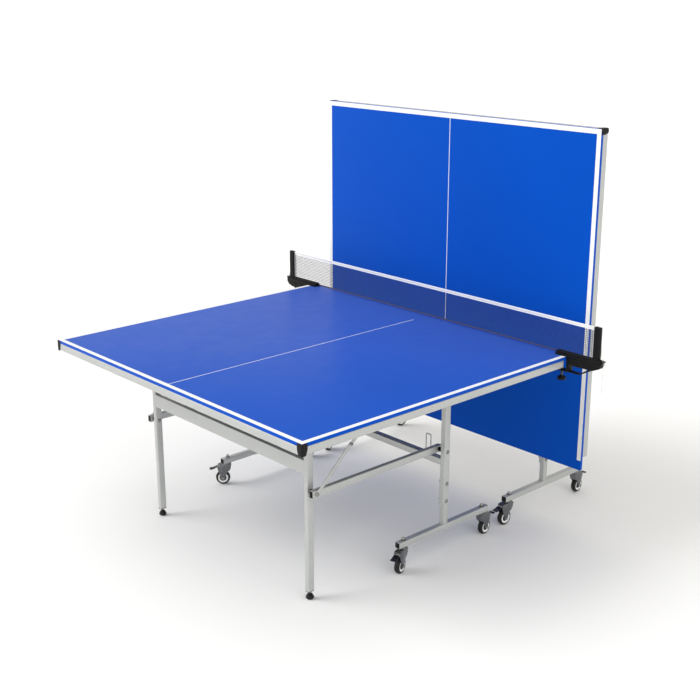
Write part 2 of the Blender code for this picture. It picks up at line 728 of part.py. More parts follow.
# ---------------------------------------------------------------- the net set
def build_clamp(name, sign, top):
    """One net bracket: a jaw over and under the board's corner, and the post outside it."""
    post_x, post_y = CLAMP_POST_SIZE[0] / 2, CLAMP_POST_SIZE[1] / 2
    edge = TABLE_WIDTH / 2
    web = edge + 0.001
    web_outer = web + CLAMP_WEB
    jaw_top = PLAY_HEIGHT + GAP
    jaw_inner = CLAMP_SCREW_Y - 0.012
    post_inner, post_outer = CLAMP_POST_Y - post_y, CLAMP_POST_Y + post_y

    def mirrored(points):
        return [(sign * y, z) for y, z in points]

    step_in, step_up = CLAMP_ARM_STEP
    arm_points = [(CLAMP_ARM_INNER, jaw_top), (CLAMP_ARM_INNER, jaw_top + step_up)]
    arm_points += [(CLAMP_ARM_INNER + step_in, CLAMP_ARM_TOP), (CLAMP_ARM_END, CLAMP_ARM_TOP)]
    arm_points += CLAMP_ARM_OUTER
    arm_points += [(web_outer + 0.001, 0.7340), (web, 0.7340), (web, jaw_top)]
    arm = cross_outline("arm", mirrored(arm_points), CLAMP_ARM_WIDTH, NET_X)
    bracket = add_object("net_bracket_" + name, arm, "black_plastic", top)
    jaw_points = [(web, 0.7550), (web, JAW_HIGH), (jaw_inner, JAW_HIGH), (jaw_inner, JAW_LOW)]
    jaw_points += [(web_outer, JAW_LOW), (web_outer, 0.7550)]
    jaw = cross_outline("jaw", mirrored(jaw_points), CLAMP_BODY_WIDTH, NET_X)
    strap_inner = web_outer - 0.002
    strap_points = [(strap_inner, 0.6990), *CLAMP_STRAP_OUTER, (strap_inner, JAW_HIGH)]
    strap = cross_outline("strap", mirrored(strap_points), CLAMP_STRAP_WIDTH, NET_X)
    low = (NET_X - post_x, min(sign * post_inner, sign * post_outer), CLAMP_ARM_TOP - 0.004)
    high = (NET_X + post_x, max(sign * post_inner, sign * post_outer), CLAMP_POST_TOP)
    bm = box_bmesh(low, high)
    bevel_edges(bm, 2, 0.003)
    pieces = [jaw, strap, mesh_from(bm, "net_post")]
    for offset in (-CLEAT_HORN_X, CLEAT_HORN_X):
        pieces.append(cross_outline("cleat_horn", mirrored(CLEAT_HORN), CLEAT_HORN_WIDTH, NET_X + offset))
    join(bracket, *pieces)
    hole_low = (NET_X, sign * CLAMP_SCREW_Y, JAW_LOW - 0.01)
    hole_high = (NET_X, sign * CLAMP_SCREW_Y, JAW_HIGH + 0.01)
    hole = cylinder("screw_hole", hole_low, hole_high, SCREW_RADIUS + 0.001, 16)
    cut(bracket, hole)
    shift = Matrix.Translation((-FOLD_PIVOT_X, 0, -PIVOT_Z))
    for mesh in (bracket.data, *pieces, hole):
        mesh.transform(shift)


def build_clamp_screw(name, sign, top):
    """The screw that pulls the jaw tight: a pad under the board, the thread and a knob."""
    pad_top = BOARD_UNDER - GAP
    pad_bottom = pad_top - CLAMP_PAD_HEIGHT
    profile = [(0.0, pad_top), (CLAMP_PAD_RADIUS, pad_top), (CLAMP_PAD_RADIUS, pad_bottom)]
    profile += [(SCREW_RADIUS, pad_bottom), (SCREW_RADIUS, CLAMP_SCREW_END), *CLAMP_KNOB]
    mesh = turned_mesh("clamp_screw", [(radius, z - pad_top) for radius, z in profile], 16)
    place = (NET_X - FOLD_PIVOT_X, sign * CLAMP_SCREW_Y, pad_top - PIVOT_Z)
    screw = add_object("net_clamp_screw_" + name, mesh, "zinc_steel", top, place)
    smooth(screw)


def build_net(top):
    """The net, as one thin closed sheet that narrows over the bracket arms."""
    low_end = CLAMP_ARM_TOP + GAP + 0.0005
    right = [(NET_NOTCH_Y, NET_BOTTOM), (NET_NOTCH_Y, low_end), (NET_HALF_SPAN, low_end)]
    right.append((NET_HALF_SPAN, NET_TOP))
    left = [(-y, z) for y, z in reversed(right)]
    points = [(y, z - PIVOT_Z) for y, z in left + right]
    mesh = cross_outline("net", points, NET_THICKNESS, NET_X - FOLD_PIVOT_X)
    add_object("net_mesh", mesh, "net_fabric", top)


def smooth_route(route, spacing):
    """Points at an even spacing on a smooth curve through the route's points."""
    knots = [Vector(point) for point in route]
    ends = [2 * knots[0] - knots[1]] + knots + [2 * knots[-1] - knots[-2]]
    dense = []
    for before, start, end, after in zip(ends, ends[1:], ends[2:], ends[3:]):
        for step in range(40):
            t = step / 40
            point = 2 * start + (end - before) * t
            point += (2 * before - 5 * start + 4 * end - after) * t * t
            point += (3 * start - before - 3 * end + after) * t * t * t
            dense.append(point / 2)
    dense.append(knots[-1])
    lengths = [0.0]
    for start, end in zip(dense, dense[1:]):
        lengths.append(lengths[-1] + (end - start).length)
    count = max(2, round(lengths[-1] / spacing))
    points = []
    index = 0
    for step in range(count + 1):
        target = lengths[-1] * step / count
        while index < len(dense) - 2 and lengths[index + 1] < target:
            index += 1
        share = (target - lengths[index]) / (lengths[index + 1] - lengths[index])
        points.append(dense[index].lerp(dense[index + 1], min(max(share, 0.0), 1.0)))
    return points


# The free end of the net's tension cord, as (distance from the table's middle, height).
CORD_ROUTE = (
    (0.8990, 0.9047),
    (0.9040, 0.9050),
    (0.9082, 0.9044),
    (0.9100, 0.9018),
    (0.9100, 0.8960),
    (0.9100, 0.8800),
    (0.9105, 0.8400),
    (0.9125, 0.8050),
    (0.9170, 0.7860),
    (0.9218, 0.7740),
    (0.9240, 0.7600),
    (0.9246, 0.7400),
    (0.9246, 0.7100),
    (0.9243, 0.6800),
    (0.9240, CORD_END),
)


def build_cord(name, sign, top):
    """The tension cord's free end: over the post's top, through the cleat and down."""
    route = [(NET_X, sign * y, z) for y, z in CORD_ROUTE]
    shift = Vector((-FOLD_PIVOT_X, 0, -PIVOT_Z))
    points = [point + shift for point in smooth_route(route, 2.2 * CORD_DIAMETER)]
    curve = wire_curve("net_cord", points, CORD_DIAMETER / 2)
    add_object("net_cord_" + name, curve, "cord_grey", top)


# ---------------------------------------------------------------- assembly
def build_half(half):
    """One half with its trolley. Returns the empty that the board hangs on."""
    x, turn = HALF_ROOT[half]
    fold = FOLD[half]
    root = add_empty(half + "_half", None, (x, 0, 0), (0, 0, turn))
    top = add_empty(half + "_fold_pivot", root, (FOLD_PIVOT_X, 0, PIVOT_Z), (0, fold, 0))
    leg_place = (LEG_PIVOT_X - FOLD_PIVOT_X, 0, 0)
    leg = add_empty(half + "_leg_pivot", top, leg_place, (0, -fold, 0))
    build_board(half, top)
    build_apron(half, top)
    build_corners(half, top)
    build_leg_frame(half, leg)
    build_feet(half, leg)
    build_links(half, fold, root)
    build_stays(half, fold, top, leg)
    build_undercarriage(half, root)
    build_casters(half, root)
    return top


def build():
    play_top = build_half("play")
    build_half("rebound")
    for name, sign in (("left", 1), ("right", -1)):
        build_clamp(name, sign, play_top)
        build_clamp_screw(name, sign, play_top)
        build_cord(name, sign, play_top)
    build_net(play_top)


build()
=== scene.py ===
"""The folding table tennis table's looks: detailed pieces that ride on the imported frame.

One half is modelled flat, in its own frame: origin on the floor under the middle of its net
edge, outer end at -X. REST carries each rigid group of it to where the frame holds it.
"""

import bisect
import json
import math

import bmesh
import bpy
from mathutils import Matrix, Vector

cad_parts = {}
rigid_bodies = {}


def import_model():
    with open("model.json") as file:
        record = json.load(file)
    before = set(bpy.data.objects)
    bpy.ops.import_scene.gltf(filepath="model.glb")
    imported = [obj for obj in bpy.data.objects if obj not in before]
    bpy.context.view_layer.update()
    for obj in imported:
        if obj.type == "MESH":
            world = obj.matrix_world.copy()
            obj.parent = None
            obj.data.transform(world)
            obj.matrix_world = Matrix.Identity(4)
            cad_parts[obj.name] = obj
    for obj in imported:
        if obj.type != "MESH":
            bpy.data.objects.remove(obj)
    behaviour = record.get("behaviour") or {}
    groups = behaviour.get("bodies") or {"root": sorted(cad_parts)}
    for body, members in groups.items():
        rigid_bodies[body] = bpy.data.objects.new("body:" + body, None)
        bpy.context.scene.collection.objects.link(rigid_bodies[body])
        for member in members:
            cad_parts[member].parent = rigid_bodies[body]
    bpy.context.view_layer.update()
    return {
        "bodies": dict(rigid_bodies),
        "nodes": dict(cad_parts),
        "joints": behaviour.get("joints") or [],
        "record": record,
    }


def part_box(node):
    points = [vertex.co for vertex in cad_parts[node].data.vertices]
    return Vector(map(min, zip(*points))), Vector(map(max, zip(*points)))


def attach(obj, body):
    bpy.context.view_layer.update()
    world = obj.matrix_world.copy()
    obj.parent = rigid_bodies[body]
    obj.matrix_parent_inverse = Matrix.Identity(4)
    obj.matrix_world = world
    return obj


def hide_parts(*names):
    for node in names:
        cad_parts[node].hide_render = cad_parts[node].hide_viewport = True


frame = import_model()

# ---------------- sizes, from the frame
HALVES = ("play", "rebound")
SIDES = (("left", 1), ("right", -1))
ENDS = ("outer", "inner")
FOLDED = {"play": 0.0, "rebound": 90.0}
JOINTS = {joint["name"]: joint for joint in frame["joints"]}
RATIOS = {pair["joint"]: pair["ratio"] for pair in frame["record"]["behaviour"]["couplings"]}

BOARD_LOW, BOARD_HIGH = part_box("play_board")
ORIGIN = Vector((BOARD_HIGH.x, 0.0, 0.0))
LENGTH = BOARD_HIGH.x - BOARD_LOW.x
HALF_WIDTH = BOARD_HIGH.y
SURFACE = BOARD_HIGH.z
UNDERSIDE = BOARD_LOW.z


def pivot(name):
    """A joint's place in the flat half's frame."""
    return Vector(JOINTS[name]["pos_m"]) - ORIGIN


FOLD = pivot("play_fold")
LEG = pivot("play_leg_fold")
LINK = pivot("play_link_left_turn")
STAY = pivot("play_stay_upper_left_turn")
BOLT = pivot("play_stay_lower_left_turn")

CORNER_RADIUS = 0.0045
APRON_LOW, APRON_TOP = 0.7187, UNDERSIDE - 0.0003
APRON_DEPTH = 0.02
APRON_SETBACK = 0.055
LUG_HALF = 0.0015  # half the thickness of a lug
SCREW_SPACING = 0.24
LINE_WIDTH = 0.02
SIDE_LINE_END = 0.042
CENTRE_LINE = 0.003
CENTRE_LINE_END = 0.103
LINE_PAINT = 0.00012

POST_Y = 0.55
POST = (0.028, 0.024)
LOWER_POST = (0.0235, 0.0235)
SPLICE = (0.203, 0.315)
SPLICE_PLATE = 0.0035
SPLICE_BOLTS = (0.295, 0.223)
LEG_Y = 0.474
LEG_TUBE = (0.028, 0.02)
LEG_TUBE_END = 0.0338
CROSS = (0.488, 0.541)
CROSS_DEPTH = 0.02
LINK_TUBE = (0.02, 0.028)
LINK_ENDS = (0.0181, 0.0131)  # how far a link bar runs past its leg and its post pivot
BEAM = (0.03, 0.025)
BEAM_Z = 0.383
CATCH_Y = 0.4615
CATCH_TOP = 0.472
BAR = 0.025
BAR_LOW = 0.1015
BAR_HALF = 0.252
STEM_X = 0.2215
STAY_WIDTH = 0.014
STAY_PLATE = 0.003
TUBE_WALL = 0.0014
PLUG_RADIUS = 0.0036
TUBE_END = 0.012  # posts and legs end this far above their top pivot

NET_X = -0.026
NET_TOP = 0.9016
NET_BOTTOM = 0.768
NET_END = 0.8772
HEM_END = 0.7035
ABOVE_ARMS = 0.7772  # the netting is notched over the bracket arms
CORD_DIAMETER = 0.002
ARM_ENDS = (0.7112, 0.916)
NET_POST_Y = 0.892
EYELET_Y = 0.8975
SCREW_Y = 0.735


# ---------------- where each group rests
def about(point, degrees):
    """A turn about the axis along Y through the point."""
    turn = Matrix.Rotation(math.radians(degrees), 4, "Y")
    return Matrix.Translation(point) @ turn @ Matrix.Translation(-point)


def caster_place(half, end, side):
    """The caster's own frame, with its stem on Z and its wheel trailing along +X."""
    tag = f"{half}_{end}_{side}"
    stem = Vector(JOINTS[tag + "_swivel_turn"]["pos_m"])
    axle = Vector(JOINTS[tag + "_wheel_spin"]["axis"])
    turn = Matrix.Rotation(math.atan2(-axle.x, axle.y), 4, "Z")
    return Matrix.Translation((stem.x, stem.y, 0.0)) @ turn


def rest_places(half):
    """The matrix of each rigid group, by the name of its body without the half's own name."""
    fold = FOLDED[half]
    root = Matrix.Translation(ORIGIN)
    if half == "rebound":
        post_x = JOINTS["rebound_fold"]["pos_m"][0]
        root = Matrix.Translation((post_x + FOLD.x, 0, 0)) @ Matrix.Rotation(math.pi, 4, "Z")
    top = root @ about(FOLD, fold)
    legs = top @ about(LEG, -fold)
    places = {"trolley": root, "top": top, "legs": legs}
    for side, _ in SIDES:
        upper = RATIOS[f"{half}_stay_upper_{side}_turn"] * fold
        lower = RATIOS[f"{half}_stay_lower_{side}_turn"] * fold
        places[f"link_{side}"] = root @ about(LINK, fold)
        places[f"foot_{side}_body"] = legs
        places[f"stay_upper_{side}_arm"] = top @ about(STAY, upper)
        places[f"stay_lower_{side}_arm"] = legs @ about(BOLT, lower)
        for end in ENDS:
            caster = caster_place(half, end, side)
            for group in ("swivel", "wheel", "brake"):
                places[f"{end}_{side}_{group}"] = caster
    return places


REST = {half: rest_places(half) for half in HALVES}


# ---------------- camera
def new_object(name, data):
    """An object of the data, in the scene."""
    made = bpy.data.objects.new(name, data)
    bpy.context.scene.collection.objects.link(made)
    return made


def make_camera():
    camera = bpy.data.cameras.new("camera")
    camera.sensor_width = 36.0
    camera.lens = 59.75
    camera.clip_end = 600.0
    eye = new_object("camera", camera)
    eye.location = ORIGIN + Vector((-3.5255, -3.3391, 2.1174))
    eye.rotation_euler = (math.radians(72.63), 0.0, math.radians(-42.47))
    bpy.context.scene.camera = eye


make_camera()


# ---------------- materials
def linear(*channels):
    """A colour given as it looks on a screen, from 0 to 255."""
    shares = [c / 255 for c in channels]
    return tuple(s / 12.92 if s <= 0.04 else ((s + 0.055) / 1.055) ** 2.4 for s in shares)


# A noise's middle range, where most of its values lie.
PATTERN_MIDDLE = (0.3, 0.7)


class Look:
    """A Principled material whose colour, roughness and bump come from procedural textures."""

    def __init__(self, name, slot, colour, roughness, **settings):
        self.slot = slot
        self.colour = linear(*colour)
        self.roughness = roughness
        self.material = bpy.data.materials.new(name)
        self.material.use_nodes = True
        self.material.diffuse_color = (*self.colour, 1.0)
        self.tree = self.material.node_tree
        self.shader = self.tree.nodes["Principled BSDF"]
        for socket, value in settings.items():
            self.shader.inputs[socket.replace("_", " ")].default_value = value
        self.coordinates = self.tree.nodes.new("ShaderNodeTexCoord").outputs["Object"]
        self.normal = None

    def node(self, kind, inputs, **settings):
        """A node's outputs. Each of its inputs is given a link or a value."""
        made = self.tree.nodes.new(kind)
        for name, value in settings.items():
            setattr(made, name, value)
        for socket, value in inputs.items():
            if isinstance(value, bpy.types.NodeSocket):
                self.tree.links.new(value, made.inputs[socket])
            else:
                made.inputs[socket].default_value = value
        return made.outputs

    def noise(self, scale, detail=3.0, stretch=None):
        """A noise pattern. Stretch scales the coordinates along X, Y and Z."""
        source = self.coordinates
        if stretch:
            source = self.node("ShaderNodeMapping", {"Vector": source, "Scale": stretch})["Vector"]
        inputs = {"Vector": source, "Scale": scale, "Detail": detail}
        return self.node("ShaderNodeTexNoise", inputs)["Fac"]

    def stripes(self, direction, period):
        """Even stripes across an axis, a period apart."""
        inputs = {"Vector": self.coordinates, "Scale": 2 * math.pi / (20 * period)}
        return self.node("ShaderNodeTexWave", inputs, bands_direction=direction)["Fac"]

    def ranged(self, pattern, start, end, low=0.0, high=1.0):
        """The pattern's range from start to end, carried to low and high."""
        inputs = {"Value": pattern, "From Min": start, "From Max": end}
        return self.node("ShaderNodeMapRange", inputs | {"To Min": low, "To Max": high})["Result"]

    def tint(self, pattern, low, high):
        """Colour that varies with the pattern from low to high shares of itself."""
        outputs = self.node("ShaderNodeValToRGB", {"Fac": pattern})
        ends = outputs[0].node.color_ramp.elements
        for end, place, share in zip(ends, PATTERN_MIDDLE, (low, high)):
            end.position = place
            end.color = (*(min(c * share, 1.0) for c in self.colour), 1.0)
        return outputs["Color"]

    def patches(self, under, pattern, colour, low, high):
        """The colour laid over what is under it, where the pattern passes from low to high."""
        inputs = {0: self.ranged(pattern, low, high), 6: under, 7: (*linear(*colour), 1.0)}
        return self.node("ShaderNodeMix", inputs, data_type="RGBA")[2]

    def bump(self, pattern, depth):
        """Relief of the given depth in metres."""
        inputs = {"Distance": depth, "Height": pattern}
        if self.normal:
            inputs["Normal"] = self.normal
        self.normal = self.node("ShaderNodeBump", inputs)["Normal"]

    def finish(self, colour, pattern, swing):
        """Links the colour, the relief and a roughness that swings with the pattern."""
        low, high = self.roughness - swing, self.roughness + swing
        rough = self.ranged(pattern, *PATTERN_MIDDLE, low, high)
        links = {"Base Color": colour, "Roughness": rough, "Normal": self.normal}
        for socket, output in links.items():
            if output:
                self.tree.links.new(output, self.shader.inputs[socket])
        return self


def plain(name, slot, colour, roughness, grain, cloud, haze, **settings):
    """A look with fine relief, clouded colour and uneven gloss.

    Each pattern is a noise and what it does: grain ends with its depth, cloud with the low
    and high shares of the colour, and haze with the roughness's swing.
    """
    look = Look(name, slot, colour, roughness, **settings)
    look.bump(look.noise(*grain[:-1]), grain[-1])
    colour = look.tint(look.noise(*cloud[:-2]), *cloud[-2:])
    return look.finish(colour, look.noise(*haze[:-1]), haze[-1])


def moulded_black(name, slot, colour, roughness, gloss=0.18):
    """Spark-textured moulded plastic."""
    patterns = (1500, 2.0, 0.00012), (25, 5.0, 0.8, 1.25), (300, 0.07)
    return plain(name, slot, colour, roughness, *patterns, Specular_IOR_Level=gloss)


def raw_underside():
    """The board's back: a dark sealing coat over pressed fibre."""
    look = Look("sealed_fibreboard", "board", (46, 50, 56), 0.62)
    flecks = look.noise(700, 6.0)
    look.bump(flecks, 0.00015)
    colour = look.tint(look.noise(9, 6.0), 0.8, 1.15)
    colour = look.patches(colour, flecks, (72, 76, 82), 0.6, 0.72)
    return look.finish(colour, look.noise(60), 0.08)


def powder_coat():
    """Silver-grey powder coat: fine orange peel and a few metallic flecks."""
    look = Look("silver_powder_coat", "frame", (182, 184, 182), 0.38, Metallic=0.42)
    look.bump(look.noise(650), 0.0001)
    flecks = look.noise(2600, 1.0)
    look.bump(flecks, 0.00003)
    colour = look.tint(look.noise(7, 4.0), 0.95, 1.03)
    colour = look.patches(colour, flecks, (222, 224, 224), 0.62, 0.7)
    return look.finish(colour, look.noise(40, 4.0), 0.06)


def rubber(name, slot, colour):
    """Moulded rubber with a little dust in its relief."""
    look = Look(name, slot, colour, 0.55, Specular_IOR_Level=0.28)
    look.bump(look.noise(900, 4.0), 0.00014)
    dust = look.noise(70, 6.0)
    colour = look.patches(look.tint(dust, 0.85, 1.2), dust, (74, 73, 70), 0.66, 0.78)
    return look.finish(colour, look.noise(200), 0.08)


def woven(name, colour, period):
    """A plain weave: ribs both ways, with lighter and darker yarns."""
    look = Look(name, "net", colour, 0.82, Sheen_Weight=0.25, Sheen_Roughness=0.5)
    ribs = {0: look.stripes("Y", period), 1: look.stripes("Z", period)}
    look.bump(look.node("ShaderNodeMath", ribs, operation="MULTIPLY")["Value"], 0.00018)
    look.bump(look.noise(2400, 2.0), 0.00006)
    return look.finish(look.tint(look.noise(220, 5.0), 0.88, 1.05), look.noise(500), 0.08)


def braided_cord():
    """A braided cord: slanted strands along its length."""
    look = Look("net_cord_braid", "cord", (206, 206, 202), 0.78, Sheen_Weight=0.2)
    look.bump(look.stripes("DIAGONAL", 0.0011), 0.00012)
    look.bump(look.noise(3000, 2.0), 0.00005)
    return look.finish(look.tint(look.noise(400, 3.0), 0.82, 1.05), look.noise(600), 0.08)


# Semi-matt rolled table paint, with a hazy blue bloom at low angles.
BLOOM = {"Specular_IOR_Level": 0.06, "Specular_Tint": (0.1, 0.5, 1, 1)}
BLOOM |= {"Sheen_Weight": 0.1, "Sheen_Roughness": 0.4}

# The patterns of the plain looks below: their grain, cloud and haze.
PAINT_PATTERNS = (900, 2.0, 0.00001), (1.6, 3.0, 0.97, 1.03), (14, 4.0, 0.03)
LINE_PATTERNS = (1100, 2.0, 0.00005), (18, 4.0, 0.95, 1.02), (240, 0.06)
ZINC_PATTERNS = (240, 2.0, (1.0, 1.0, 14.0), 0.00002), (90, 6.0, 0.78, 1.06), (120, 5.0, 0.1)
STEEL_PATTERNS = (420, 3.0, 0.00005), (60, 5.0, 0.9, 1.06), (150, 4.0, 0.06)
NYLON_PATTERNS = (800, 2.0, 0.00006), (60, 5.0, 0.92, 1.02), (200, 0.06)

BLUE = plain("playing_blue", "board", (5, 75, 180), 0.4, *PAINT_PATTERNS, **BLOOM)
WHITE = plain("line_paint", "board", (236, 236, 234), 0.45, *LINE_PATTERNS)
UNDER = raw_underside()
SILVER = powder_coat()
ZINC = plain("zinc_plate", "caster_housing", (158, 158, 155), 0.25, *ZINC_PATTERNS, Metallic=1)
DARK_STEEL = plain(
    "dark_plated_steel", "caster_housing", (112, 114, 117), 0.24, *STEEL_PATTERNS, Metallic=0.8
)
CAP_BLACK = moulded_black("corner_black", "corner_cap", (20, 20, 21), 0.48)
PLUG_BLACK = moulded_black("plug_black", "frame", (14, 14, 15), 0.55)
PEDAL_BLACK = moulded_black("pedal_black", "pedal", (16, 18, 26), 0.26, 0.55)
BRACKET_BLACK = moulded_black("bracket_black", "net_bracket", (12, 12, 13), 0.46)
KNOB_BLACK = moulded_black("knob_black", "clamp_screw", (11, 11, 12), 0.5)
TYRE = rubber("tyre_rubber", "tyre", (24, 24, 25))
FOOT = rubber("foot_rubber", "foot_rubber", (18, 18, 19))
HUB = plain("hub_nylon", "tyre", (240, 240, 240), 0.34, *NYLON_PATTERNS)
HUB_CENTRE = moulded_black("hub_centre_grey", "tyre", (54, 55, 57), 0.45)
NET_YARN = woven("net_yarn", (16, 24, 62), 0.0009)
TAPE = woven("net_tape", (238, 238, 236), 0.0012)
HEM = woven("net_hem", (64, 50, 60), 0.001)
CORD = braided_cord()


# ---------------- shapes
def at_height(outline, height, frame):
    """The outline's points at a height in the frame."""
    return [frame @ Vector((u, v, height)) for u, v in outline]


def arc(centre, radius, start, end, steps=6):
    """Points on an arc from the start angle to the end angle, in degrees."""
    angles = [math.radians(start + (end - start) * k / steps) for k in range(steps + 1)]
    return [(centre[0] + radius * math.cos(a), centre[1] + radius * math.sin(a)) for a in angles]


def circle(radius, steps, lobes=0, swell=0.0):
    """Points round a circle, whose radius may swell in lobes."""
    points = []
    for k in range(steps):
        angle = 2 * math.pi * k / steps
        reach = radius * (1 + swell * math.cos(lobes * angle))
        points.append((reach * math.cos(angle), reach * math.sin(angle)))
    return points


def rounded_rect(size, radius, inset=0.0, steps=4):
    """The outline of a rectangle with round corners, drawn in by the inset."""
    radius = max(radius, inset + 0.0002)
    x, y = size[0] / 2 - radius, size[1] / 2 - radius
    points = []
    for centre, start in (((x, y), 0), ((-x, y), 90), ((-x, -y), 180), ((x, -y), 270)):
        points += arc(centre, radius - inset, start, start + 90, steps)
    return points


def inset_outline(points, distance):
    """The outline with each side moved inwards by the distance."""
    points = [Vector(point) for point in points]
    area = sum(a.x * b.y - b.x * a.y for a, b in zip(points, points[1:] + points[:1]))
    sign = 1 if area > 0 else -1
    moved = []
    for before, here, after in zip(points[-1:] + points, points, points[1:] + points[:1]):
        first = (here - before).normalized()
        second = (after - here).normalized()
        normals = [Vector((-side.y, side.x)) * sign for side in (first, second)]
        middle = (normals[0] + normals[1]).normalized()
        moved.append(here + middle * distance / max(middle.dot(normals[0]), 0.4))
    return moved


def facing(point, direction):
    """A frame at the point, with its Z axis along the direction."""
    turn = Vector(direction).to_track_quat("Z", "Y").to_matrix().to_4x4()
    return Matrix.Translation(point) @ turn


def mm(*points):
    """Points given in millimetres."""
    return [(first / 1000, second / 1000) for first, second in points]


def mirrored(sign, points):
    """Points given as (distance from the table's middle, height), on the sign's side."""
    return [(sign * y, z) for y, z in points]


# These carry an outline in X and Y to X and Z, or to Y and Z through the middle of the net.
UPRIGHT = Matrix(((1, 0, 0, 0), (0, 0, 1, 0), (0, 1, 0, 0), (0, 0, 0, 1)))
ACROSS_NET = Matrix(((0, 0, 1, NET_X), (1, 0, 0, 0), (0, 1, 0, 0), (0, 0, 0, 1)))


class Shape:
    """Collects closed parts, each with its own look, into one mesh."""

    def __init__(self):
        self.bm = bmesh.new()
        self.looks = []

    def loft(self, loops, look, ring=False):
        """Skins the loops of points in their order, and closes it to a ring or with caps."""
        rows = [[self.bm.verts.new(point) for point in loop] for loop in loops]
        faces = []
        pairs = list(zip(rows, rows[1:]))
        if ring:
            pairs.append((rows[-1], rows[0]))
        else:
            faces += [self.bm.faces.new(rows[0]), self.bm.faces.new(rows[-1])]
        for first, second in pairs:
            sides = zip(first, first[1:] + first[:1], second[1:] + second[:1], second)
            faces += [self.bm.faces.new(corners) for corners in sides]
        bmesh.ops.recalc_face_normals(self.bm, faces=faces)
        if look not in self.looks:
            self.looks.append(look)
        for face in faces:
            face.material_index = self.looks.index(look)
            face.smooth = True

    def tube(self, start, end, across, size, radius=0.003, open_start=False):
        """A steel tube with round edges. Size is across, then square to that."""
        start, end, across = Vector(start), Vector(end), Vector(across)
        length = (end - start).length
        along = (end - start) / length
        up = along.cross(across)

        def loop(distance, inset):
            outline = rounded_rect(size, radius, inset)
            return [start + along * distance + across * u + up * v for u, v in outline]

        soft = 0.0005
        stations = [(0.0, soft), (soft, 0.0), (length - soft, 0.0), (length, soft)]
        if open_start:
            stations = [(min(0.05, length / 3), TUBE_WALL), (0.0, TUBE_WALL)] + stations
        self.loft([loop(*station) for station in stations], SILVER)

    def plate(self, outline, low, high, look, frame=Matrix(), soft=0.0005, rounds=2):
        """An outline in X and Y, thick along Z between low and high, with softened edges."""
        low, high = sorted((low, high))
        loops = []
        for k in range(rounds + 1):
            angle = math.pi / 2 * k / rounds
            inset = inset_outline(outline, soft * (1 - math.sin(angle)))
            loops.append((inset, soft * (1 - math.cos(angle))))
        levels = [(line, low + rise) for line, rise in loops]
        levels += [(line, high - rise) for line, rise in reversed(loops)]
        self.loft([at_height(*level, frame) for level in levels], look)

    def turned(self, profile, look, frame=Matrix(), steps=24, ring=False, lobes=0, swell=0.0):
        """A turned part about Z. The profile holds (radius, height)."""
        rings = [(circle(radius, steps, lobes, swell), height) for radius, height in profile]
        self.loft([at_height(*level, frame) for level in rings], look, ring=ring)

    def wire(self, points, radius, look, steps=10, ripple=0.0, taper=False):
        """A round wire through the points. Ripple swells it at every second point."""
        points = [Vector(point) for point in points]
        last = len(points) - 1
        side = (points[1] - points[0]).orthogonal()
        loops = []
        for k, point in enumerate(points):
            ahead = (points[min(k + 1, last)] - points[max(k - 1, 0)]).normalized()
            side = (side - ahead * side.dot(ahead)).normalized()
            other = ahead.cross(side)
            reach = radius * (1 + ripple * (k % 2))
            if taper and k in (0, last):
                reach *= 0.4
            loops.append([point + side * u + other * v for u, v in circle(reach, steps)])
        self.loft(loops, look)

    def mesh(self, name):
        mesh = bpy.data.meshes.new(name)
        self.bm.to_mesh(mesh)
        self.bm.free()
        for look in self.looks:
            mesh.materials.append(look.material)
        mesh.set_sharp_from_angle(angle=math.radians(40))
        return mesh


def add_piece(name, data, place, body, replaces=()):
    piece = new_object(name, data)
    piece.matrix_world = place
    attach(piece, body)
    if replaces:
        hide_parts(*replaces)
    return piece


def put(shape, name, group, replaces=()):
    """Puts the shape on both halves. Replaces names CAD nodes without the half's name."""
    mesh = shape.mesh(name)
    for half in HALVES:
        nodes = [f"{half}_{node}" for node in replaces]
        add_piece(f"{half}_{name}", mesh, REST[half][group], f"{half}_{group}", nodes)


# ---------------- fasteners
def dome_bolt(shape, point, direction, radius=0.0055, rise=1.0):
    """A round-headed bolt with a socket, on a washer. A low head has a rise below one."""
    place = facing(point, direction) @ Matrix.Diagonal((1, 1, rise, 1))
    washer = radius * 1.5
    shape.turned([(washer, 0), (washer, 0.0009), (washer - 0.0004, 0.0012)], ZINC, place)
    head = [(radius, 0.0012), (radius, 0.002), (radius * 0.93, 0.0032), (radius * 0.74, 0.0043)]
    head += [(radius * 0.46, 0.0049), (radius * 0.42, 0.0046), (radius * 0.4, 0.0026)]
    shape.turned(head, ZINC, place)


def hex_nut(shape, point, direction, across, height):
    """A hexagon with its corners cut back, on a washer."""
    place = facing(point, direction)
    corner = across / math.sqrt(3)
    washer = corner * 1.25
    shape.turned([(washer, 0), (washer, 0.001), (washer - 0.0003, 0.0013)], ZINC, place)
    outline = [(corner * 0.93, 0.0013), (corner, 0.0019), (corner, height - 0.0006)]
    shape.turned(outline + [(corner * 0.9, height)], ZINC, place, 6)


def domed_nut(shape, point, direction, across):
    """A cap nut: a hexagon with a round dome."""
    hex_nut(shape, point, direction, across, 0.0055)
    radius = across * 0.44
    turns = (0.0, 0.4, 0.8, 1.2, 1.45)
    dome = [(radius * math.cos(a), 0.0075 + radius * math.sin(a)) for a in turns]
    shape.turned([(radius * 0.99, 0.005)] + dome, ZINC, facing(point, direction), 20)


def pan_screw(shape, point, radius=0.0035):
    """A small screw driven in from below, drawn as a dome with a pit."""
    head = [(radius, 0), (radius, 0.0005), (radius * 0.85, 0.0016), (radius * 0.45, 0.0022)]
    head += [(radius * 0.38, 0.0021), (radius * 0.2, 0.0012)]
    shape.turned(head, ZINC, facing(point, (0, 0, -1)), 16)


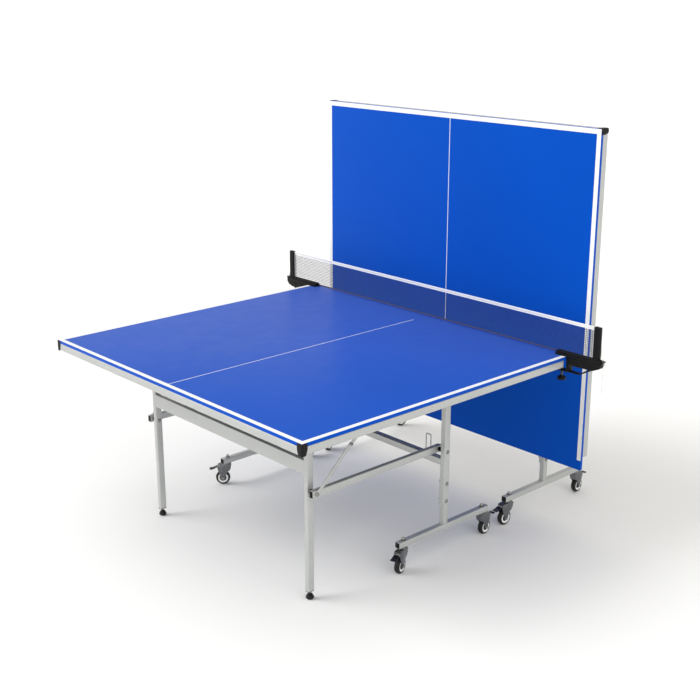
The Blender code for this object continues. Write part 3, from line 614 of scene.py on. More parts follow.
def thread_profile(radius, top, bottom):
    """A threaded rod from top to bottom, as rings."""
    pitch = 0.00125
    depth = pitch * 0.5
    count = int((top - bottom) / pitch)
    profile = [(radius - depth, top)]
    for k in range(count):
        profile.append((radius, top - pitch * (k + 0.3)))
        profile.append((radius - depth, top - pitch * (k + 0.8)))
    return profile + [(radius - depth, bottom)]


def weld(shape, points, radius=0.0014):
    """A painted weld bead with its ripples."""
    points = [Vector(point) for point in points]
    bead = []
    for start, end in zip(points, points[1:]):
        count = max(2, round((end - start).length / 0.0022))
        bead += [start.lerp(end, k / count) for k in range(count)]
    bead.append(points[-1])
    shape.wire(bead, radius, SILVER, 6, 0.22, True)


def plugged_tube(shape, start, end, size, radius):
    """A tube along X with a black insert in each end: a thin flange with a sunk middle."""
    shape.tube(start, end, (0, 1, 0), size, radius)
    steps = mm((1.7, -1), (1.7, 0.4), (2.3, 0.9), (4.6, 0.9), (5.2, 0.3), (6.6, 0.3), (7, 0.6))
    for point, way in ((start, -1), (end, 1)):
        place = facing(point, (way, 0, 0))
        turn = place.to_3x3().inverted() @ Vector((0, 1, 0))
        place = place @ Matrix.Rotation(math.atan2(turn.y, turn.x), 4, "Z")
        levels = [(rounded_rect(size, PLUG_RADIUS, inset), height) for inset, height in steps]
        shape.loft([at_height(*level, place) for level in levels], PLUG_BLACK)


# ---------------- the top of a half
def build_board():
    """The painted slab with its sealed back, and the white lines."""
    corners = rounded_rect((LENGTH, 2 * HALF_WIDTH), CORNER_RADIUS, 0, 5)
    outline = [(x - LENGTH / 2, y) for x, y in corners]
    slab = Shape()
    slab.plate(outline, UNDERSIDE + 0.0003, SURFACE, BLUE, soft=0.0009, rounds=4)
    under = inset_outline(outline, 0.0022)
    slab.plate(under, UNDERSIDE, UNDERSIDE + 0.0022, UNDER, soft=0.0003, rounds=1)
    put(slab, "slab", "top", ["board"])

    lines = Shape()
    top = SURFACE + LINE_PAINT
    low = SURFACE - 0.0004
    edge = 0.001  # the paint stops where the board's edge starts to round off

    def stripe(x0, x1, y0, y1):
        outline = [(x0, y0), (x1, y0), (x1, y1), (x0, y1)]
        lines.plate(outline, low, top, WHITE, soft=0.0001, rounds=1)

    line_start = -LENGTH + LINE_WIDTH
    stripe(-LENGTH + edge, line_start, edge - HALF_WIDTH, HALF_WIDTH - edge)
    for sign in (-1, 1):
        sides = sorted((sign * (HALF_WIDTH - edge), sign * (HALF_WIDTH - LINE_WIDTH)))
        stripe(line_start, -SIDE_LINE_END, *sides)
    stripe(line_start, -CENTRE_LINE_END, -CENTRE_LINE / 2, CENTRE_LINE / 2)
    put(lines, "lines", "top")


def strap_plate(shape, x, y0, y1):
    """A cross strap: a flat bar with two shallow stiffening lips."""
    profile = mm((-20, -6), (-18.4, -6), (-18.4, -3), (18.4, -3), (18.4, -6), (20, -6))
    profile += mm((20, -0.2), (-20, -0.2))
    section = [(x + u, APRON_TOP + v) for u, v in profile]
    shape.plate(section, y0, y1, SILVER, UPRIGHT, soft=0.0004, rounds=1)
    count = max(2, round(abs(y1 - y0) / SCREW_SPACING))
    for k in range(count):
        pan_screw(shape, (x, y0 + (y1 - y0) * (k + 0.5) / count, APRON_TOP - 0.003))


def lug_plate(shape, x, y, pivot_z):
    """A hanging plate, round about its pivot."""
    radius, root = 0.011, APRON_TOP - 0.002
    outline = [(x - radius, root)] + arc((x, pivot_z), radius, 180, 360, 10)
    outline.append((x + radius, root))
    shape.plate(outline, y - LUG_HALF, y + LUG_HALF, SILVER, UPRIGHT, soft=0.0004)


def build_apron():
    """The steel rim under the board, with its cross straps and the lugs of the pivots."""
    rails = Shape()
    middle = (APRON_LOW + APRON_TOP) / 2
    height = APRON_TOP - APRON_LOW
    end_x = -LENGTH + APRON_DEPTH / 2
    reach = HALF_WIDTH - 0.0002
    size = (APRON_DEPTH, height)
    rails.tube((end_x, -reach, middle), (end_x, reach, middle), (1, 0, 0), size, 0.0022)
    for sign in (-1, 1):
        y = sign * (HALF_WIDTH - APRON_DEPTH / 2 - 0.0001)
        start = (-LENGTH + APRON_DEPTH * 0.6, y, middle)
        rails.tube(start, (-APRON_SETBACK, y, middle), (0, 1, 0), size, 0.0022)
        inner = y - sign * APRON_DEPTH / 2
        joint_x = -LENGTH + APRON_DEPTH
        weld(rails, [(joint_x, inner, APRON_LOW + 0.003), (joint_x, inner, APRON_TOP - 0.003)])
        for k in range(5):
            pan_screw(rails, (-LENGTH + 0.12 + k * 0.27, y, APRON_LOW), 0.004)
    for k in range(5):
        pan_screw(rails, (end_x, -0.6 + 0.3 * k, APRON_LOW), 0.004)
    strap_reach = HALF_WIDTH - APRON_DEPTH - 0.0005
    for x in (FOLD.x, LEG.x):
        strap_plate(rails, x, -strap_reach, strap_reach)
        for y in (-strap_reach, strap_reach):
            for offset in (-0.018, 0.018):
                weld(rails, [(x + offset, y, APRON_TOP - 0.004), (x, y, APRON_TOP - 0.004)])
    for sign in (-1, 1):
        sides = sorted((sign * (abs(STAY.y) - 0.006), sign * strap_reach))
        strap_plate(rails, STAY.x, *sides)
        for y, size, point in ((POST_Y, POST, FOLD), (LEG_Y, LEG_TUBE, LEG)):
            gap = size[1] / 2 + 0.0018
            for step in (-gap, gap):
                lug_plate(rails, point.x, sign * y + step, point.z)
            face = gap + LUG_HALF
            dome_bolt(rails, (point.x, sign * (y + face), point.z), (0, sign, 0))
            domed_nut(rails, (point.x, sign * (y - face), point.z), (0, -sign, 0), 0.01)
        lug_y = sign * (abs(STAY.y) + 0.0033)
        lug_plate(rails, STAY.x, lug_y, STAY.z)
        dome_bolt(rails, (STAY.x, lug_y + sign * LUG_HALF, STAY.z), (0, sign, 0), 0.005)
    put(rails, "rails", "top", ["apron"])


def build_corners():
    """Moulded corner caps: an L of wall that bulges a little, on a floor under the apron."""
    wall, reach = 0.0012, 0.0015
    low, high = 0.7162, SURFACE - 0.0003
    for side, sign in SIDES:
        cap = Shape()

        def path(out, arm):
            """From the side wall's end round the corner to the end wall's end."""
            centre = (-LENGTH + CORNER_RADIUS, HALF_WIDTH - CORNER_RADIUS)
            turn = arc(centre, CORNER_RADIUS + out, 90, 180)
            return [(-LENGTH + arm, HALF_WIDTH + out)] + turn + [(-LENGTH - out, HALF_WIDTH - arm)]

        def level(z, out, arm):
            inner = path(out - max(wall, out - 0.0002), arm)
            return [Vector((x, sign * y, z)) for x, y in path(out, arm) + inner[::-1]]

        stations = [(low, 0.0006, 0.015), (low + 0.0008, 0.0011, 0.016)]
        stations += [(low + 0.006, reach, 0.018), (low + 0.014, reach, 0.0205)]
        stations += [(low + 0.022, reach, 0.0225), (high - 0.012, reach, 0.0228)]
        stations += [(high - 0.004, 0.0013, 0.0224), (high - 0.0012, 0.0009, 0.0218)]
        stations.append((high, 0.0004, 0.0212))
        cap.loft([level(*station) for station in stations], CAP_BLACK)
        floor = path(0.0009, 0.015) + [(-LENGTH + 0.012, HALF_WIDTH - 0.012)]
        floor = [(x, sign * y) for x, y in floor]
        cap.plate(floor, low, low + 0.0022, CAP_BLACK, soft=0.0006)
        pan_screw(cap, (-LENGTH + 0.01, sign * (HALF_WIDTH - 0.01), low), 0.003)
        put(cap, f"corner_cap_{side}", "top", [f"corner_{side}"])


# ---------------- legs, links and stays
def foot_bush(shape, y):
    """The plastic bush in the leg's open end, with a round hole for the foot's stem."""
    place = facing((LEG.x, y, LEG_TUBE_END), (0, 0, -1))
    hole = arc((0, 0), 0.0049, 9, 351, 19)
    flange = mm((1.7, -30), (1.7, 0), (0.1, 0), (0.1, 1.8), (0.8, 2.4))
    levels = [(rounded_rect(LEG_TUBE, PLUG_RADIUS, inset), height) for inset, height in flange]
    levels += [(hole, 0.0023), (hole, -0.03)]
    shape.loft([at_height(*level, place) for level in levels], PLUG_BLACK, ring=True)


def build_legs():
    """The leg frame, and the levelling feet in its two legs."""
    legs = Shape()
    low, high = CROSS
    half = CROSS_DEPTH / 2
    cross_x = LEG.x - LEG_TUBE[0] / 2 + half + 0.0004
    reach = LEG_Y - LEG_TUBE[1] / 2
    ends = [(cross_x, y, (low + high) / 2) for y in (-reach - 0.001, reach + 0.001)]
    legs.tube(*ends, (1, 0, 0), (CROSS_DEPTH, high - low), 0.0026)
    for sign in (-1, 1):
        y = sign * LEG_Y
        inner, outer = sign * reach, sign * (reach + LEG_TUBE[1])
        bottom, top = (LEG.x, y, LEG_TUBE_END), (LEG.x, y, LEG.z + TUBE_END)
        legs.tube(bottom, top, (1, 0, 0), LEG_TUBE, 0.0028, True)
        foot_bush(legs, y)
        ring = [(0.001 - half, low), (half, low), (half, high), (0.001 - half, high)]
        weld(legs, [(cross_x + x, inner, z) for x, z in ring])
        boss = facing((LEG.x, outer, BOLT.z), (0, sign, 0))
        legs.turned(mm((8.5, 0), (8.5, 12.5), (7.8, 13.4)), PLUG_BLACK, boss, 20)
        dome_bolt(legs, (LEG.x, inner, BOLT.z), (0, -sign, 0))
        head = (LEG.x, sign * (abs(BOLT.y) + STAY_PLATE / 2), BOLT.z)
        dome_bolt(legs, head, (0, sign, 0), 0.0054, rise=0.7)
    put(legs, "leg_tubes", "legs", ["leg_frame"])
    for side, sign in SIDES:
        foot = Shape()
        place = Matrix.Translation((LEG.x, sign * LEG_Y, 0))
        foot.turned(thread_profile(0.004, 0.056, 0.019), ZINC, place, 16)
        profile = mm((5.8, 22.6), (6.6, 22.2), (7.2, 20.6), (10.8, 19))
        profile += arc((0.0066, 0.0084), 0.0084, 62, -72, 9) + mm((9, 0.2), (8.4, 0))
        foot.turned(profile, FOOT, place, 28)
        put(foot, f"level_foot_{side}", f"foot_{side}_body", [f"foot_{side}"])


def build_links():
    """The plugged bars between the posts and the legs."""
    for side, sign in SIDES:
        link = Shape()
        y = sign * abs(LINK.y)
        ends = (LEG.x - LINK_ENDS[0], y, LINK.z), (FOLD.x + LINK_ENDS[1], y, LINK.z)
        plugged_tube(link, *ends, LINK_TUBE, 0.0028)
        inner = (FOLD.x, y - sign * LINK_TUBE[0] / 2, LINK.z)
        domed_nut(link, inner, (0, -sign, 0), 0.01)
        put(link, f"link_tube_{side}", f"link_{side}", [f"link_bar_{side}"])


def stay_arm(shape, start, end, y, lip):
    """A flat arm with round ends and a pressed rib along its middle."""
    start, end = Vector((start[0], start[1])), Vector((end[0], end[1]))
    along = (end - start).normalized()
    angle = math.degrees(math.atan2(along.y, along.x))
    radius = STAY_WIDTH / 2
    outline = arc(start, radius, angle + 90, angle + 270, 10)
    outline += arc(end, radius, angle - 90, angle + 90, 10)
    shape.plate(outline, y - STAY_PLATE / 2, y + STAY_PLATE / 2, SILVER, UPRIGHT, soft=0.0006)
    inner, outer = start + along * 0.028, end - along * 0.028
    rib = arc(inner, 0.0024, angle + 90, angle + 270) + arc(outer, 0.0024, angle - 90, angle + 90)
    face = y + lip * STAY_PLATE / 2
    ends = (face - lip * 0.0005, face + lip * 0.0002)
    shape.plate(rib, *ends, SILVER, UPRIGHT, soft=0.0002, rounds=1)


def build_stays():
    """The folding stays. Their knee is where both arms can reach flat and folded."""
    anchor, bolt = Vector((STAY.x, STAY.z)), Vector((BOLT.x, BOLT.z))
    span = (anchor - bolt).length
    fold_x = STAY.x - LEG.x - (LEG.z - BOLT.z)
    drop = LEG.z - STAY.z
    lower = (span**2 - fold_x**2 - drop**2) / (2 * (span - fold_x))
    knee = bolt.lerp(anchor, lower / span)
    for side, sign in SIDES:
        upper_arm, lower_arm = Shape(), Shape()
        stay_arm(upper_arm, anchor, knee, sign * abs(STAY.y), sign)
        stay_arm(lower_arm, bolt, knee, sign * abs(BOLT.y), -sign)
        outer = sign * (abs(STAY.y) + STAY_PLATE / 2)
        dome_bolt(upper_arm, (knee.x, outer, knee.y), (0, sign, 0), 0.0045)
        inner = sign * (abs(BOLT.y) - STAY_PLATE / 2)
        rivet = facing((knee.x, inner, knee.y), (0, -sign, 0))
        lower_arm.turned(mm((4.5, 0), (4.3, 0.2), (2.8, 0.3)), ZINC, rivet, 16)
        put(upper_arm, f"stay_top_arm_{side}", f"stay_upper_{side}_arm", [f"stay_upper_{side}"])
        put(lower_arm, f"stay_leg_arm_{side}", f"stay_lower_{side}_arm", [f"stay_lower_{side}"])


# ---------------- the trolley
def around(size, inset=0.0):
    """A closed run round a section's corners, drawn in at the ends of its first side."""
    half_u, half_v = size[0] / 2 - inset, size[1] / 2
    corners = ((-1, -1), (1, -1), (1, 1), (-1, 1), (-1, -1))
    return [(a * half_u, b * half_v) for a, b in corners]


def build_undercarriage():
    """The welded trolley: posts, beam, caster bars, splice plates and wire loops."""
    trolley = Shape()
    reach = POST_Y - POST[1] / 2 + 0.001
    beam_ends = (FOLD.x, -reach, BEAM_Z), (FOLD.x, reach, BEAM_Z)
    trolley.tube(*beam_ends, (1, 0, 0), BEAM, 0.0028)
    low, high = SPLICE
    bar_top = BAR_LOW + BAR
    lengths = [(high, FOLD.z + TUBE_END, POST, False), (low + 0.006, high, POST, True)]
    lengths.append((bar_top, high - 0.02, LOWER_POST, False))
    for sign in (-1, 1):
        y = sign * POST_Y
        for foot, head, size, is_open in lengths:
            ends = (FOLD.x, y, foot), (FOLD.x, y, head)
            trolley.tube(*ends, (1, 0, 0), size, 0.003, is_open)
        inner, outer = y - sign * POST[1] / 2, y + sign * POST[1] / 2
        weld(trolley, [(FOLD.x + u, inner, BEAM_Z + v) for u, v in around(BEAM, 0.002)])
        foot = [(FOLD.x + u, y + v, bar_top + 0.0006) for u, v in around(LOWER_POST)]
        weld(trolley, foot, 0.0017)
        plate = rounded_rect((0.025, high - low), 0.003)
        plate = [(FOLD.x + u, (low + high) / 2 + v) for u, v in plate]
        face = inner - sign * SPLICE_PLATE
        trolley.plate(plate, face, inner + sign * 0.0005, SILVER, UPRIGHT, soft=0.0008)
        for z in SPLICE_BOLTS:
            dome_bolt(trolley, (FOLD.x, outer, z), (0, sign, 0))
            domed_nut(trolley, (FOLD.x, face, z), (0, -sign, 0), 0.011)
        boss = facing((FOLD.x, inner, LINK.z), (0, -sign, 0))
        length = abs(inner) - abs(LINK.y) - LINK_TUBE[0] / 2 - 0.0003
        profile = [(0.0085, 0.0), (0.0085, length - 0.0006), (0.0079, length)]
        trolley.turned(profile, PLUG_BLACK, boss, 20)
        dome_bolt(trolley, (FOLD.x, outer, LINK.z), (0, sign, 0))
        caster_bar(trolley, y)
        catch(trolley, sign)
    put(trolley, "trolley_frame", "trolley", ["undercarriage"])


def caster_bar(shape, y):
    """A plugged bar with the nuts of its two casters' stems."""
    half, middle = BAR_HALF - 0.001, BAR_LOW + BAR / 2
    ends = (FOLD.x - half, y, middle), (FOLD.x + half, y, middle)
    plugged_tube(shape, *ends, (BAR, BAR), 0.003)
    for stem in (-STEM_X, STEM_X):
        domed_nut(shape, (FOLD.x + stem, y, BAR_LOW + BAR), (0, 0, 1), 0.013)


def catch(shape, sign):
    """The wire loop that stands on the beam, with its two bent feet welded down."""
    centre = sign * CATCH_Y
    half, bend, top = 0.0125, 0.006, CATCH_TOP
    base = BEAM_Z + BEAM[1] / 2
    foot, side, turn = base - 0.002, half - bend, top - bend
    line = [(centre - half, foot)] + arc((centre - side, turn), bend, 180, 90, 5)
    line += arc((centre + side, turn), bend, 90, 0, 5) + [(centre + half, foot)]
    shape.wire([(FOLD.x, y, z) for y, z in line], 0.002, ZINC)
    for y in (centre - half, centre + half):
        ring = arc((FOLD.x, y), 0.0026, 0, math.degrees(6))
        weld(shape, [(*point, base) for point in ring], 0.0009)


# ---------------- casters
TRAIL, WHEEL_Z = 0.0225, 0.032
CHEEK_Y, CHEEK_THICK = 0.0146, 0.0016


def build_fork():
    """The pressed housing: two cheeks, a hood and a back, with its bearing and axle nuts."""
    fork = Shape()
    axle = (TRAIL, WHEEL_Z)
    cheek = mm((-14, 95.2), (35, 95.2), (43, 90.5), (46.6, 78), (42.6, 64), (35.6, 48))
    cheek += arc(axle, 0.01, 18, -190, 12) + mm((8, 50), (0, 61), (-12.2, 78))
    rib = arc(axle, 0.0075, 0, 360, 18)[:-1]
    for sign in (-1, 1):
        face = sign * CHEEK_Y
        inner, outer = sign * (CHEEK_Y - CHEEK_THICK), sign * (CHEEK_Y + 0.0007)
        fork.plate(cheek, face, inner, DARK_STEEL, UPRIGHT)
        fork.plate(rib, face, outer, DARK_STEEL, UPRIGHT, soft=0.0004, rounds=1)
    hood = mm((-14, 95.8), (35, 95.8), (42.4, 92.5), (46.2, 86.6), (44.7, 86.1), (41.3, 91.2))
    hood += mm((34.5, 94.2), (-14, 94.2))
    back = mm((-15.2, 95.5), (-12.6, 78), (-6, 64), (-4.8, 64.6), (-11.2, 78.4), (-13.6, 95.5))
    for outline, soft in ((hood, 0.0004), (back, 0.0003)):
        fork.plate(outline, -CHEEK_Y, CHEEK_Y, DARK_STEEL, UPRIGHT, soft, rounds=1)
    bearing = mm((15, 95), (15.8, 95.8), (15.8, 97.2), (14, 98), (15, 98.4))
    bearing += mm((15, 100.4), (14.2, 101))
    fork.turned(bearing, ZINC, steps=28)
    for sign in (-1, 1):
        nut = (TRAIL, sign * (CHEEK_Y + 0.0006), WHEEL_Z)
        hex_nut(fork, nut, (0, sign, 0), 0.0105, 0.005)
    return fork


def build_wheel():
    """A tyre on a hub with a grey centre, turned about the axle."""
    wheel = Shape()
    place = facing((TRAIL, 0, WHEEL_Z), (0, 1, 0))
    tyre = mm((22.6, 9.6), (23.2, 11))
    tyre += [(0.0252 + 1.175 * r, z * 1.9) for r, z in arc((0, 0), 0.0057, 80, -80, 14)]
    tyre += mm((23.2, -11), (22.6, -9.6))
    wheel.turned(tyre, TYRE, place, 48, ring=True)
    face = mm((22.9, 0), (22.9, 9.8), (22.3, 10.7), (20.4, 11.1), (18.4, 10.5), (15.6, 9.6))
    face += mm((14.8, 9), (14.2, 0))
    centre = mm((14.3, 0), (14.3, 9.2), (13.6, 10), (10, 10.4), (8.8, 11.2), (6, 11.6), (4, 11.6))
    for sign in (-1, 1):
        for profile, look, steps in ((face, HUB, 40), (centre, HUB_CENTRE, 32)):
            side = [(radius, sign * height) for radius, height in profile]
            wheel.turned(side, look, place, steps)
    return wheel


def build_pedal():
    """The moulded brake lever, with grip ribs on its toe."""
    pedal = Shape()
    middle = mm((31, 88), (44, 85.8), (56, 80.3), (65, 76), (73, 74.2), (81.2, 75))
    widths = (0.01, 0.0112, 0.0124, 0.013, 0.0131, 0.0122)
    thick = 0.0014
    loops = []
    befores, afters = middle[:1] + middle, middle[1:] + middle[-1:]
    for before, (x, z), after, width in zip(befores, middle, afters, widths):
        slope = Vector((after[0] - before[0], after[1] - before[1])).normalized()
        section = rounded_rect((2 * width, 2 * thick), 0.0011, 0, 3)
        loops.append([Vector((x - v * slope.y, u, z + v * slope.x)) for u, v in section])
    pedal.loft(loops, PEDAL_BLACK)
    for k in range(4):
        x, z = 0.064 + 0.0042 * k, 0.0776 - 0.0011 * min(k, 2)
        ridge = [(x + u, z + v) for u, v in mm((-0.9, 0), (0.9, 0), (0.5, 1.1), (-0.5, 1.1))]
        pedal.plate(ridge, -0.0108, 0.0108, PEDAL_BLACK, UPRIGHT, soft=0.0002, rounds=1)
    pin = facing((0.044, 0, 0.0855), (0, 1, 0))
    pedal.turned(mm((4, -12.5), (4, 12.5)), ZINC, pin, 16)
    return pedal


def build_casters():
    """The same three pieces at all eight casters."""
    corners = [f"{end}_{side}" for end in ENDS for side, _ in SIDES]
    for name, build, group, node in (
        ("fork_pressing", build_fork, "swivel", "caster_fork"),
        ("wheel_and_hub", build_wheel, "wheel", "caster_wheel"),
        ("brake_lever", build_pedal, "brake", "brake_pedal"),
    ):
        shape = build()
        mesh = shape.mesh(name)
        for half in HALVES:
            for tag in corners:
                place, body = REST[half][f"{tag}_{group}"], f"{half}_{tag}_{group}"
                replaced = [f"{half}_{tag}_{node}"]
                add_piece(f"{half}_{tag}_{name}", mesh, place, body, replaced)


# ---------------- the net set
TOP = REST["play"]["top"]


def put_on_top(shape, name, body="play_top", replaces=()):
    return add_piece(name, shape.mesh(name), TOP, body, replaces)


def smooth_route(route, spacing):
    """Points at an even spacing on a smooth curve through the route's points."""
    knots = [Vector(point) for point in route]
    ends = [2 * knots[0] - knots[1]] + knots + [2 * knots[-1] - knots[-2]]
    dense = []
    for before, start, end, after in zip(ends, ends[1:], ends[2:], ends[3:]):
        for step in range(40):
            t = step / 40
            point = 2 * start + (end - before) * t
            point += (2 * before - 5 * start + 4 * end - after) * t * t
            point += (3 * start - before - 3 * end + after) * t * t * t
            dense.append(point / 2)
    dense.append(knots[-1])
    lengths = [0.0]
    for start, end in zip(dense, dense[1:]):
        lengths.append(lengths[-1] + (end - start).length)
    count = max(2, round(lengths[-1] / spacing))
    points = []
    for step in range(count + 1):
        target = lengths[-1] * step / count
        k = min(bisect.bisect_left(lengths, target, 1), len(dense) - 1)
        share = (target - lengths[k - 1]) / (lengths[k] - lengths[k - 1])
        points.append(dense[k - 1].lerp(dense[k], min(max(share, 0.0), 1.0)))
    return points, lengths[-1]


# The free end of the net's tension cord, as (distance from the table's middle, height).
CORD_ROUTE = mm((899, 904.7), (904, 905), (908.2, 904.4), (910, 901.8), (910, 896), (910, 880))
CORD_ROUTE += mm((910.5, 840), (912.5, 805), (917, 786), (921.8, 774), (924, 760))
CORD_ROUTE += mm((924.6, 740), (924.6, 710), (924.3, 680), (924, 649))


def build_cord(side, sign):
    """The cord's free end, from the post's eyelet past the cleat to below the bracket."""
    route = [(NET_X, *point) for point in mirrored(sign, CORD_ROUTE)]
    points, length = smooth_route(route, 1.5 * CORD_DIAMETER)
    curve = bpy.data.curves.new(f"tension_cord_{side}", "CURVE")
    curve.dimensions = "3D"
    curve.bevel_depth = CORD_DIAMETER / 2
    curve.bevel_resolution = 3
    curve.use_fill_caps = True
    curve.materials.append(CORD.material)
    spline = curve.splines.new("POLY")
    spline.points.add(len(points) - 1)
    for point, place in zip(spline.points, points):
        point.co = (*place, 1.0)
    name = f"tension_cord_{side}"
    piece = add_piece(name, curve, TOP, "play_top", [f"net_cord_{side}"])


def build_net():
    """Crossing yarns, a folded tape over the top cord, side bands and a bottom hem."""
    low, high = NET_BOTTOM + 0.0042, NET_TOP - 0.0125
    end = NET_END - 0.0032
    width, thick, pitch = 0.0013, 0.0006, 0.0072
    netting = Shape()
    columns = round(2 * end / pitch)
    rows = round((high - low) / pitch)

    def yarn(start, finish, sideways, offset):
        """A straight, flat yarn."""
        a, b = thick / 2, width / 2
        corners = ((-a, -b), (a, -b), (a, b), (-a, b))
        loops = []
        for y, z in (start, finish):
            middle = Vector((NET_X + offset, y, z))
            loops.append([middle + Vector((a, 0, 0)) + sideways * b for a, b in corners])
        netting.loft(loops, NET_YARN)

    along, up = Vector((0, 1, 0)), Vector((0, 0, 1))
    for k in range(columns + 1):
        y = -end + 2 * end * k / columns
        foot = low if abs(y) < HEM_END else ABOVE_ARMS
        yarn((y, foot), (y, high), along, thick * 0.35)
    for k in range(rows + 1):
        z = low + (high - low) * k / rows
        reach = end if z > ABOVE_ARMS else HEM_END
        yarn((-reach, z), (reach, z), up, -thick * 0.35)

    def ribbon(shape, curl, side, base, reach, look):
        """A folded strip along the net: its curl, then its side down and its other side up."""
        side = mm(*side)
        outline = curl + [(-x, z) for x, z in side] + side[::-1]
        outline = [(NET_X + x, base + z) for x, z in outline]
        shape.plate(outline, -reach, reach, look, UPRIGHT, soft=0.0002, rounds=1)

    trim = Shape()
    curl = arc((0, -0.0022), 0.0022, -40, 220, 12)
    side = (0.9, -5.5), (0.9, -10.4), (0.6, -10.8), (0.9, -11.2), (0.8, -13.8)
    ribbon(trim, curl, side, NET_TOP, NET_END, TAPE)
    for sign in (-1, 1):
        near, far = sign * (end - 0.0005), sign * NET_END
        back, front = NET_X - 0.001, NET_X + 0.001
        band = [(back, near), (front, near), (front, far), (back, far)]
        trim.plate(band, ABOVE_ARMS, NET_TOP - 0.012, TAPE)
    bands = put_on_top(trim, "net_tape_and_bands")

    hem = Shape()
    curl = arc((0, 0.0014), 0.0013, 140, 400, 10)
    ribbon(hem, curl, ((-0.6, 3), (-0.5, 4.8)), NET_BOTTOM, HEM_END, HEM)
    hem_piece = put_on_top(hem, "net_bottom_hem")

    netting_piece = put_on_top(netting, "netting", replaces=["net_mesh"])


def ribbed_post_outline(centre_y):
    """The post's section: five upright ribs on each broad face."""
    half_x, half_y = 0.009, 0.0145
    ribs, depth, corner = 5, 0.001, 0.0016
    count = ribs * 4
    points = []
    for face in (1, -1):
        for k in range(count + 1):
            x = half_x - depth * (0.5 + 0.5 * math.cos(2 * math.pi * ribs * k / count))
            if k in (0, count):
                x -= corner
            points.append((NET_X + face * x, centre_y + face * half_y * (1 - 2 * k / count)))
    return points


def build_bracket(side, sign):
    """The moulded clamp with its arm, post, cleat and jaw, and its thumb screw."""
    bracket = Shape()
    edge = 1000 * HALF_WIDTH + 1
    low = 1000 * SURFACE + 0.4

    def moulding(outline, half, soft=0.0007, rounds=2):
        """An outline seen from the end, as thick as twice the half."""
        side = mirrored(sign, mm(*outline))
        bracket.plate(side, -half, half, BRACKET_BLACK, ACROSS_NET, soft, rounds)

    right = mm((18, low), (18, 765.5), (14.5, 766.5), (14.5, 770.5), (10.5, 771.5))
    right += mm((10.5, 775.2), (9.5, 776.2), (3.5, 776.2), (3, 774.4))
    section = [(NET_X + x, z) for x, z in right] + [(NET_X - x, z) for x, z in right[::-1]]
    bracket.plate(section, *(sign * y for y in ARM_ENDS), BRACKET_BLACK, UPRIGHT, soft=0.0007)
    body = [(edge, low + 3), (edge, 734.5), (800, 729), (886, 731.5), (911, 742.5)]
    moulding(body + [(919, 754.5), (918.4, 770), (915, 774.5)], 0.015, 0.001)
    ribs = [(770, 917, 758.9, 761.1, 0.0168), (770, 917, 750.9, 753.1, 0.0168)]
    ribs += [(772, 905, 741.9, 744.1, 0.0168), (810.9, 813.1, 731, 764, 0.0164)]
    ribs.append((854.9, 857.1, 731, 764, 0.0164))
    for y0, y1, z0, z1, half in ribs:
        moulding([(y0, z0), (y1, z0), (y1, z1), (y0, z1)], half, 0.0005, 1)
    post = ribbed_post_outline(sign * NET_POST_Y)
    bracket.plate(post, 0.774, 0.9028, BRACKET_BLACK, soft=0.0022, rounds=4)
    eyelet = mm((2.6, 902), (2.6, 903.4), (1.8, 904), (1.1, 903.4), (1.1, 902))
    place = Matrix.Translation((NET_X, sign * EYELET_Y, 0))
    bracket.turned(eyelet, ZINC, place, 18, ring=True)
    horn = mm((912, 764), (928.2, 770.2), (928.8, 774.5), (923, 774.2), (912, 773.8))
    horn = mirrored(sign, horn)
    for offset in (-0.0065, 0.0065):
        ends = (offset - 0.0034, offset + 0.0034)
        bracket.plate(horn, *ends, BRACKET_BLACK, ACROSS_NET, soft=0.0007)
    jaw = [(edge, 755), (edge, 703.4), (723.5, 703.4), (723.5, 698.2), (774.8, 698.2)]
    moulding(jaw + [(774.8, 755)], 0.0138)
    strap = [(774, 699), (821.2, 698.5), (824.8, 699.6), (873.8, 726.2), (873.8, 731.8)]
    moulding(strap + [(868.4, 731.8), (822.2, 703.6), (820, 703), (774, 703.4)], 0.0098, 0.0006)
    put_on_top(bracket, f"bracket_{side}", replaces=[f"net_bracket_{side}"])

    screw = Shape()
    place = Matrix.Translation((NET_X, sign * SCREW_Y, 0))
    screw.turned(thread_profile(0.005, 0.7442, 0.6755), ZINC, place, 20)
    pad = mm((7.8, 747), (8.8, 746.6), (8.8, 744.8), (6, 744))
    screw.turned(pad, KNOB_BLACK, place)
    grip = mm((7.2, 676.2), (8.2, 675.4), (9.2, 671.6), (15.2, 670.4), (16.7, 669))
    grip += mm((17, 666.8), (17, 662), (16, 659), (12, 657.8))
    screw.turned(grip, KNOB_BLACK, place, 56, lobes=7, swell=0.055)
    put_on_top(screw, f"thumb_screw_{side}", f"net_screw_{side}", [f"net_clamp_screw_{side}"])


# ---------------- stage
WORLD_STRENGTH = 0.7
WORLD_COLOUR = (1.0, 0.985, 0.95, 1.0)
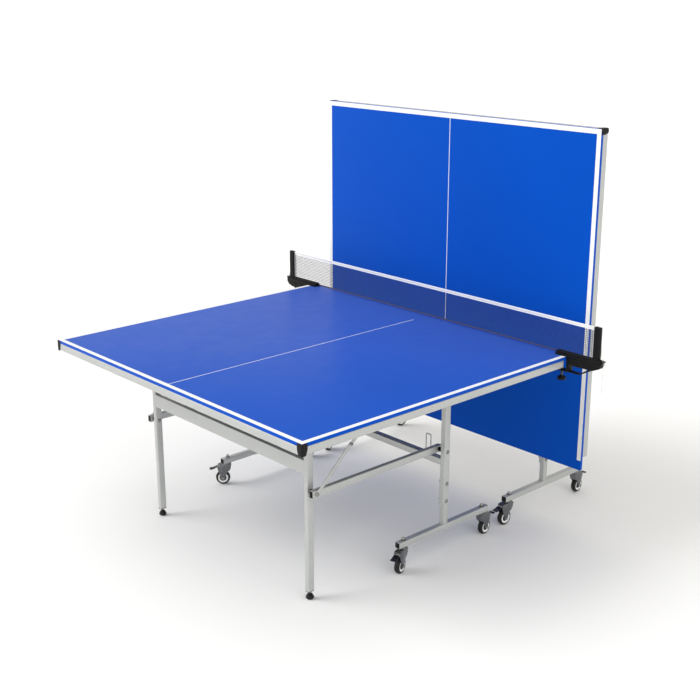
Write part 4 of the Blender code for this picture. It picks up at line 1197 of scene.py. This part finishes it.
# Each soft light's name, the direction it comes from (degrees from +X), its height, its
# softness and its strength.
SUNS = (
    ("key", 136.0, 31.0, 44.0, 1.5),
    ("accent", 144.0, 44.0, 24.0, 0.5),
    ("fill", 250.0, 22.0, 60.0, 1.0),
    ("overhead", 144.0, 80.0, 50.0, 0.35),
)


def build_stage():
    """A pale floor, a world with a white backdrop, and the soft lights."""
    floor_mesh = bpy.data.meshes.new("floor")
    bm = bmesh.new()
    bmesh.ops.create_grid(bm, x_segments=1, y_segments=1, size=300.0)
    bm.to_mesh(floor_mesh)
    bm.free()
    look = Look("studio_floor", "frame", (243, 243, 243), 0.9)
    look.finish(look.tint(look.noise(0.6, 2.0), 0.99, 1.0), look.noise(2.0), 0.02)
    floor_mesh.materials.append(look.material)
    floor = new_object("floor", floor_mesh)

    world = bpy.data.worlds.new("studio")
    world.use_nodes = True
    nodes, links = world.node_tree.nodes, world.node_tree.links
    background = nodes["Background"]
    background.inputs["Color"].default_value = WORLD_COLOUR
    background.inputs["Strength"].default_value = WORLD_STRENGTH
    backdrop = nodes.new("ShaderNodeBackground")
    backdrop.inputs["Color"].default_value = (1.0, 1.0, 1.0, 1.0)
    mix = nodes.new("ShaderNodeMixShader")
    links.new(nodes.new("ShaderNodeLightPath").outputs["Is Camera Ray"], mix.inputs[0])
    links.new(background.outputs[0], mix.inputs[1])
    links.new(backdrop.outputs[0], mix.inputs[2])
    links.new(mix.outputs[0], nodes["World Output"].inputs["Surface"])
    bpy.context.scene.world = world
    bpy.context.scene.view_settings.view_transform = "Standard"

    for name, azimuth, elevation, softness, strength in SUNS:
        light = bpy.data.lights.new(name, "SUN")
        light.angle = math.radians(softness)
        light.energy = strength
        lamp = new_object(name, light)
        turn, rise = math.radians(azimuth), math.radians(elevation)
        reach = math.cos(rise)
        source = Vector((math.cos(turn) * reach, math.sin(turn) * reach, math.sin(rise)))
        lamp.rotation_euler = (-source).to_track_quat("-Z", "Y").to_euler()


for table_side in SIDES:
    build_cord(*table_side)
build_board()
build_apron()
build_corners()
build_legs()
build_links()
build_stays()
build_undercarriage()
build_casters()
build_net()
for table_side in SIDES:
    build_bracket(*table_side)
build_stage()

bpy.context.view_layer.update()
